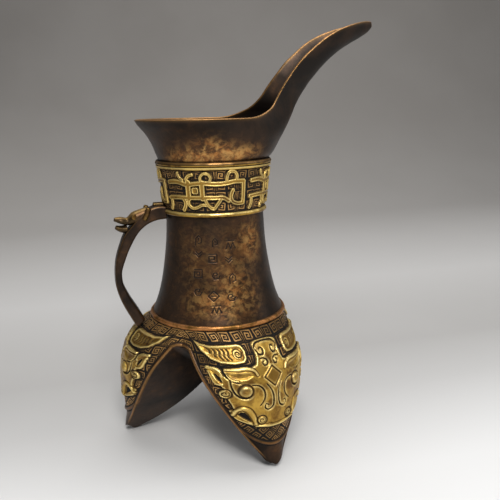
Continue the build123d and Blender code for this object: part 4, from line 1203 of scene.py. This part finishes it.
def head_body(material):
    """The dragon's head: cross sections carried along the snout, over a round lower jaw with a gap between them."""
    rows = 60
    path = through(HEAD_LINE, rows)
    rise, fall, half = (smooth_curve(np.linspace(0, 1, rows), HEAD_SHARES, section)[:, None]
                        for section in HEAD_SECTIONS)
    turn = full_turn(48)
    s, c = np.sin(turn), np.cos(turn)
    up = np.where(s > 0, rise * s, fall * s)
    across = half * np.sign(c) * np.abs(c) ** 0.8
    way = np.gradient(path, axis=0)
    way /= np.linalg.norm(way, axis=1)[:, None]
    normal = np.stack([-way[:, 1], way[:, 0]], axis=1)
    normal *= np.sign(normal[:, 1:2])
    xz = path[:, None] + normal[:, None] * up[..., None]
    points = np.stack([xz[..., 0], across, xz[..., 1]], axis=-1)
    # The top of the head gilt, and painted lighter through the bright and rub marks: painted highlight
    ridge = ease(s, 0.55, 0.95)
    skin = Skin("Dragon_head")
    skin.grid(points, around=True, marks={"gilt": 0.08 + 0.3 * ridge, "bright": 0.5 * ridge, "rub": 0.3 * ridge},
              close_start=True, close_end=True)
    jaw = through(JAW_LINE, 24)
    radius = smooth_curve(np.linspace(0, 1, 24), [0, 0.5, 1.0], JAW_RADII)
    jaw = np.stack([jaw[:, 0], 0 * jaw[:, 0], jaw[:, 1]], axis=1)
    skin.grid(tube_points(jaw, (0, 1, 0), radius, 24, 1.7), around=True, marks={"gilt": 0.1}, close_start=True,
              close_end=True)
    skin.build(material, ("dragon_head",))


ROD_ROWS, ROD_SIDES = 36, 20
# The small rods: piece, node, radius, gilding, whether one stands on each side, and the line along the middle
RODS = (
    ("Dragon_ears", "dragon_ears", 1.5, 0.4, True, [(-41.0, 4.4, 132.0), (-39.4, 5.2, 135.5), (-38.2, 4.9, 139.0)]),
    ("Dragon_eyes", "dragon_eyes", 1.4, 0.6, True, [(-46.6, 3.8, 133.9), (-46.4, 4.4, 134.0), (-46.2, 4.9, 134.0)]),
    ("Handle_mane", "handle_mane", 1.5, 0.15, False, [(-35.5, 0.0, 139.6), (-32.0, 0.0, 139.6), (-28.9, 0.0, 139.6)]),
)


def rod_piece(name, node, radius, gilt, paired, line, material):
    """Round rods along a smooth line, whose last fifths towards both ends close as quarter ellipses."""
    skin = Skin(name)
    for side in (-1, 1) if paired else (1,):
        path = through([(x, side * y, z) for x, y, z in line], ROD_ROWS)
        end = np.clip((np.abs(np.linspace(-1, 1, ROD_ROWS)) - 0.8) / 0.2, 0, 0.995)
        shape = tube_points(path, (0.1, 1, 0.05), radius * np.sqrt(1 - end ** 2), ROD_SIDES)
        skin.grid(shape, around=True, marks={"gilt": gilt}, close_start=True, close_end=True)
    skin.build(material, (node,))


# Settings


def tint(name, description, *default):
    """A colour that a user can set."""
    return FloatVectorProperty(name=name, description=description, subtype="COLOR", default=default, min=0, max=1)


class EwerLook(bpy.types.PropertyGroup):
    patina_dark: tint("Dark patina", "Deepest brown of the bronze", 0.020, 0.015, 0.012)
    patina_warm: tint("Warm patina", "Usual brown of the bronze", 0.055, 0.032, 0.020)
    # Rubbed patina also paints the highlights on the handle's edges and the head's top
    patina_rub_and_highlight: tint("Rubbed patina", "Golden brown where hands wore it", 0.400, 0.170, 0.048)
    # Ridge rub also paints the highlights where the bright mark falls on ungilt metal
    ridge_rub_and_highlight: tint("Ridge rub", "Worn tops of the square spirals", 0.480, 0.270, 0.090)
    gilding: tint("Gilding", "Bright gilt relief", 0.520, 0.315, 0.058)
    # Light gilding: rubbed rims of the gilt relief, and painted highlight on it
    gilding_rub_and_highlight: tint("Light gilding", "Rubbed rims of the relief", 1.000, 0.780, 0.300)
    # Worn and low gilding also colour the beads' undersides, there as painted shade
    gilding_worn: tint("Worn gilding", "Thin, browner gilding", 0.165, 0.080, 0.018)
    gilding_low: tint("Low gilding", "Brown left in the relief's lows", 0.050, 0.024, 0.008)
    copper: tint("Copper bead", "Reddish polished border beads", 0.480, 0.210, 0.070)
    # Recess tone: the dark fill of grooves, and painted shade in corners, on inner walls and on the neck's and
    # mouth's darker places
    shade_and_fill_tone: tint("Recess", "Dark fill of grooves and corners", 0.006, 0.005, 0.004)


class EwerStage(bpy.types.PropertyGroup):
    camera_distance: FloatProperty(name="Camera distance", description="Plan distance of the camera from the axis",
                                   default=0.353, unit="LENGTH")
    camera_height: FloatProperty(name="Camera height", description="Height of the camera above the floor",
                                 default=0.190, unit="LENGTH")
    camera_turn: FloatProperty(name="Camera turn", description="Degrees round the axis from straight in front",
                               default=-12.5)
    floor_colour: tint("Floor", "Pale floor and backdrop", 0.62, 0.61, 0.60)


# Operators


class EWER_OT_legs(bpy.types.Operator):
    """Build the three legs with their masks, plaques, beads and patterned ground"""
    bl_idname = "ewer.legs"
    bl_label = "Legs"

    def execute(self, context):
        finish = ornament_finish(context.scene.ewer_look, "Leg bronze with gilt mask")
        for name, angle in LEGS:
            leg_skin(f"Leg_{name}", angle, finish, [f"{kind}_{name}" for kind in LEG_NODES])
        return {"FINISHED"}


class EWER_OT_body(bpy.types.Operator):
    """Build the neck and the frieze"""
    bl_idname = "ewer.body"
    bl_label = "Neck and frieze"

    def execute(self, context):
        look = context.scene.ewer_look
        finish = ornament_finish(look, "Frieze bronze with gilt dragons")
        frieze_skin(finish)
        neck_body(finish)
        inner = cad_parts["frieze_band"].data.materials
        inner.clear()
        # The band's inner face in painted shade
        inner.append(patina_finish(look, "Inner bronze in painted shade", 0.4))
        return {"FINISHED"}


class EWER_OT_beads(bpy.types.Operator):
    """Build the three ring beads"""
    bl_idname = "ewer.beads"
    bl_label = "Beads"

    def execute(self, context):
        # The beads' marks paint a highlight on their tops and shade under them
        finish = ornament_finish(context.scene.ewer_look, "Bead metal with painted highlight and shade")
        half = BEAD_HEIGHT / 2
        bead_ring("Shoulder_bead", SHOULDER_R - 0.7, SHOULDER_Z, finish, "shoulder_bead", 0.0, -1.0)
        bead_ring("Frieze_low_bead", WAIST_R, FRIEZE_LOW_Z - half, finish, "frieze_low_bead", 0.15, 2.0)
        bead_ring("Frieze_high_bead", TOP_SEAT_R, FRIEZE_HIGH_Z - half, finish, "frieze_high_bead", -1.0, 0.42)
        return {"FINISHED"}


class EWER_OT_mouth(bpy.types.Operator):
    """Build the mouth and spout"""
    bl_idname = "ewer.mouth"
    bl_label = "Mouth and spout"

    def execute(self, context):
        mouth_body(ornament_finish(context.scene.ewer_look, "Mouth bronze"))
        return {"FINISHED"}


class EWER_OT_handle(bpy.types.Operator):
    """Build the handle, the dragon's head, its ears and eyes, and the roll on the strap's root"""
    bl_idname = "ewer.handle"
    bl_label = "Handle"

    def execute(self, context):
        finish = ornament_finish(context.scene.ewer_look, "Handle bronze")
        strap_body(finish)
        head_body(finish)
        for rod in RODS:
            rod_piece(*rod, finish)
        return {"FINISHED"}


# The camera's yaw, tilt down and roll in degrees, its sensor in millimetres and its lens as a share of the sensor
CAMERA_YAW, CAMERA_DOWN, CAMERA_ROLL = 3.2, 12.7, 1.15
SENSOR, LENS_SHARE = 36.0, 620.0 / 500.0
WORLD_COLOUR, WORLD_STRENGTH = (0.80, 0.82, 0.85, 1.0), 0.27
WARM_WHITE = (1.0, 0.985, 0.96)
# The softboxes: name, place, aim, sides in metres, power and colour
LIGHTS = (
    ("Key softbox", (-0.12, -0.80, 1.0), (0, 0, 0.10), (0.45, 0.45), 12.0, WARM_WHITE),
    ("Side softbox", (0.95, -0.25, 0.55), (0, 0, 0.12), (0.3, 0.8), 2.0, WARM_WHITE),
    ("Spark softbox", (-0.05, -0.9, 0.75), (0, 0, 0.08), (0.12, 0.12), 2.2, (1, 1, 1)),
    ("Top softbox", (0.05, 0.25, 1.2), (0, 0, 0.1), (0.9, 0.9), 9.0, (1, 1, 1)),
)


def camera_axes():
    """The camera's right, up and forward directions from its yaw, its tilt down and its roll."""
    yaw, down, lean = (math.radians(value) for value in (CAMERA_YAW, CAMERA_DOWN, CAMERA_ROLL))
    forward = Vector((math.sin(yaw) * math.cos(down), math.cos(yaw) * math.cos(down), -math.sin(down)))
    right = Vector((math.cos(yaw), -math.sin(yaw), 0.0))
    up = right.cross(forward)
    return (math.cos(lean) * right - math.sin(lean) * up, math.sin(lean) * right + math.cos(lean) * up, forward)


def area_light(name, place, aim, size, power, tone):
    """A rectangular softbox at a place, turned to the point that it aims at."""
    light = bpy.data.lights.new(name, "AREA")
    light.shape, light.size, light.size_y = "RECTANGLE", *size
    light.energy, light.color = power, tone
    holder = bpy.data.objects.new(name, light)
    bpy.context.scene.collection.objects.link(holder)
    holder.location = place
    holder.rotation_euler = (Vector(aim) - Vector(place)).to_track_quat("-Z", "Y").to_euler()


# The backdrop's tones, with painted shade, run from in front of the vessel back and up the wall: lighter in front, a
# painted shadow band just behind the vessel, darker up the wall. Given are the run's start and length in metres, then
# share of the run, grey and warmth, and last the painted shade's dark tone at its left
BACKDROP_START, BACKDROP_RUN = -0.25, 2.4
BACKDROP_TONES_WITH_SHADE = ((0.00, 0.74, 0.0), (0.075, 0.64, 0.0), (0.115, 0.44, 0.02), (0.145, 0.365, 0.04),
                  (0.175, 0.40, 0.04), (0.225, 0.48, 0.03), (0.41, 0.38, 0.08), (0.62, 0.31, 0.11),
                  (1.00, 0.28, 0.12))
BACKDROP_PAINTED_SHADE = (0.05, 0.048, 0.045)
# The sheet in metres: front edge, wall's distance, radius of the bend, wall's height and half the width
FLOOR_FRONT, WALL_FAR, BEND, WALL_TOP, HALF_WIDTH = -2.2, 1.25, 0.55, 2.6, 3.2


def floor_and_wall(settings):
    """A sheet that lies as the floor, bends up behind the object on a quarter circle and stands as the wall."""
    turn = np.linspace(0, np.pi / 2, 24)
    flat = np.linspace(FLOOR_FRONT, WALL_FAR - BEND, 12)[:-1]
    depth = np.concatenate([flat, WALL_FAR - BEND + BEND * np.sin(turn), [WALL_FAR]])
    height = np.concatenate([0 * flat, BEND - BEND * np.cos(turn), [WALL_TOP]])
    across = np.linspace(-HALF_WIDTH, HALF_WIDTH, 12)
    grid = np.stack(np.broadcast_arrays(across[None], depth[:, None], height[:, None]), axis=-1)
    rows, cols = grid.shape[:2]
    index = np.arange(rows * cols).reshape(rows, cols)
    quads = np.stack([index[:-1, :-1], index[:-1, 1:], index[1:, 1:], index[1:, :-1]], axis=-1).reshape(-1, 4)
    mesh = bpy.data.meshes.new("Floor")
    mesh.from_pydata(grid.reshape(-1, 3).tolist(), [], quads.tolist())
    mesh.polygons.foreach_set("use_smooth", np.full(len(quads), True))
    floor = bpy.data.objects.new("Floor", mesh)
    bpy.context.scene.collection.objects.link(floor)
    finish = Finish("Pale paper")
    place = finish.place()
    cloud = finish.noise(place, 6.0, 3.0, 0.5)
    across, depth, height = finish.parts(place)
    run = (depth + height - BACKDROP_START) * (1.0 / BACKDROP_RUN)
    paper_and_shade = finish.node("ShaderNodeValToRGB", {"stops": [(at, (tone, tone * (1 - warm / 2), tone * (1 - warm)))
                                                         for at, tone, warm in BACKDROP_TONES_WITH_SHADE]}, run)
    # Painted shade on the wall's left, growing up the wall
    shade = (1.0 - across.between(-0.9, 0.9)) * run.between(0.38, 0.80) * 0.6
    paper_and_shade = finish.mix(shade, paper_and_shade, BACKDROP_PAINTED_SHADE)
    paper_and_shade = finish.mix(cloud.between(0.3, 0.7) * 0.04, paper_and_shade, settings.floor_colour)
    mesh.materials.append(finish.surface(paper_and_shade, 0.0, 0.9, 0.1))


class EWER_OT_stage(bpy.types.Operator):
    """Build the floor, the light and the camera"""
    bl_idname = "ewer.stage"
    bl_label = "Stage"

    def execute(self, context):
        settings = context.scene.ewer_stage
        axis = Vector((AXIS_X / MM_PER_METRE, AXIS_Y / MM_PER_METRE, 0.0))
        turn = Matrix.Rotation(math.radians(settings.camera_turn), 3, "Z")
        right, up, forward = (turn @ part for part in camera_axes())
        place = axis + turn @ Vector((0.0, -settings.camera_distance, settings.camera_height))
        data = bpy.data.cameras.new("Camera")
        data.sensor_width, data.lens, data.clip_start = SENSOR, LENS_SHARE * SENSOR, 0.02
        camera = bpy.data.objects.new("Camera", data)
        context.scene.collection.objects.link(camera)
        camera.matrix_world = Matrix((*zip(right, up, -forward, place), (0, 0, 0, 1)))
        context.scene.camera = camera
        floor_and_wall(settings)
        for light in LIGHTS:
            area_light(*light)
        world = bpy.data.worlds.new("Studio")
        world.use_nodes = True
        background = world.node_tree.nodes["Background"].inputs
        background[0].default_value, background[1].default_value = WORLD_COLOUR, WORLD_STRENGTH
        context.scene.world = world
        context.scene.view_settings.view_transform = "Standard"
        return {"FINISHED"}


OPERATORS = (EWER_OT_legs, EWER_OT_body, EWER_OT_beads, EWER_OT_mouth, EWER_OT_handle, EWER_OT_stage)


class EWER_PT_panel(bpy.types.Panel):
    bl_label = "Bronze Tripod Ewer"
    bl_idname = "EWER_PT_panel"
    bl_space_type = "VIEW_3D"
    bl_region_type = "UI"
    bl_category = "Ewer"

    def draw(self, context):
        for operator in OPERATORS:
            self.layout.operator(operator.bl_idname)
        for group in (context.scene.ewer_look, context.scene.ewer_stage):
            for key in group.bl_rna.properties.keys():
                if key not in ("rna_type", "name"):
                    self.layout.prop(group, key)


CLASSES = (EwerLook, EwerStage, *OPERATORS, EWER_PT_panel)


def register():
    for kind in CLASSES:
        bpy.utils.register_class(kind)
    bpy.types.Scene.ewer_look = bpy.props.PointerProperty(type=EwerLook)
    bpy.types.Scene.ewer_stage = bpy.props.PointerProperty(type=EwerStage)


def unregister():
    del bpy.types.Scene.ewer_look
    del bpy.types.Scene.ewer_stage
    for kind in reversed(CLASSES):
        bpy.utils.unregister_class(kind)


def main():
    register()
    for operator in (bpy.ops.ewer.stage, bpy.ops.ewer.legs, bpy.ops.ewer.body, bpy.ops.ewer.beads,
                     bpy.ops.ewer.mouth, bpy.ops.ewer.handle):
        operator()


if __name__ == "__main__":
    main()
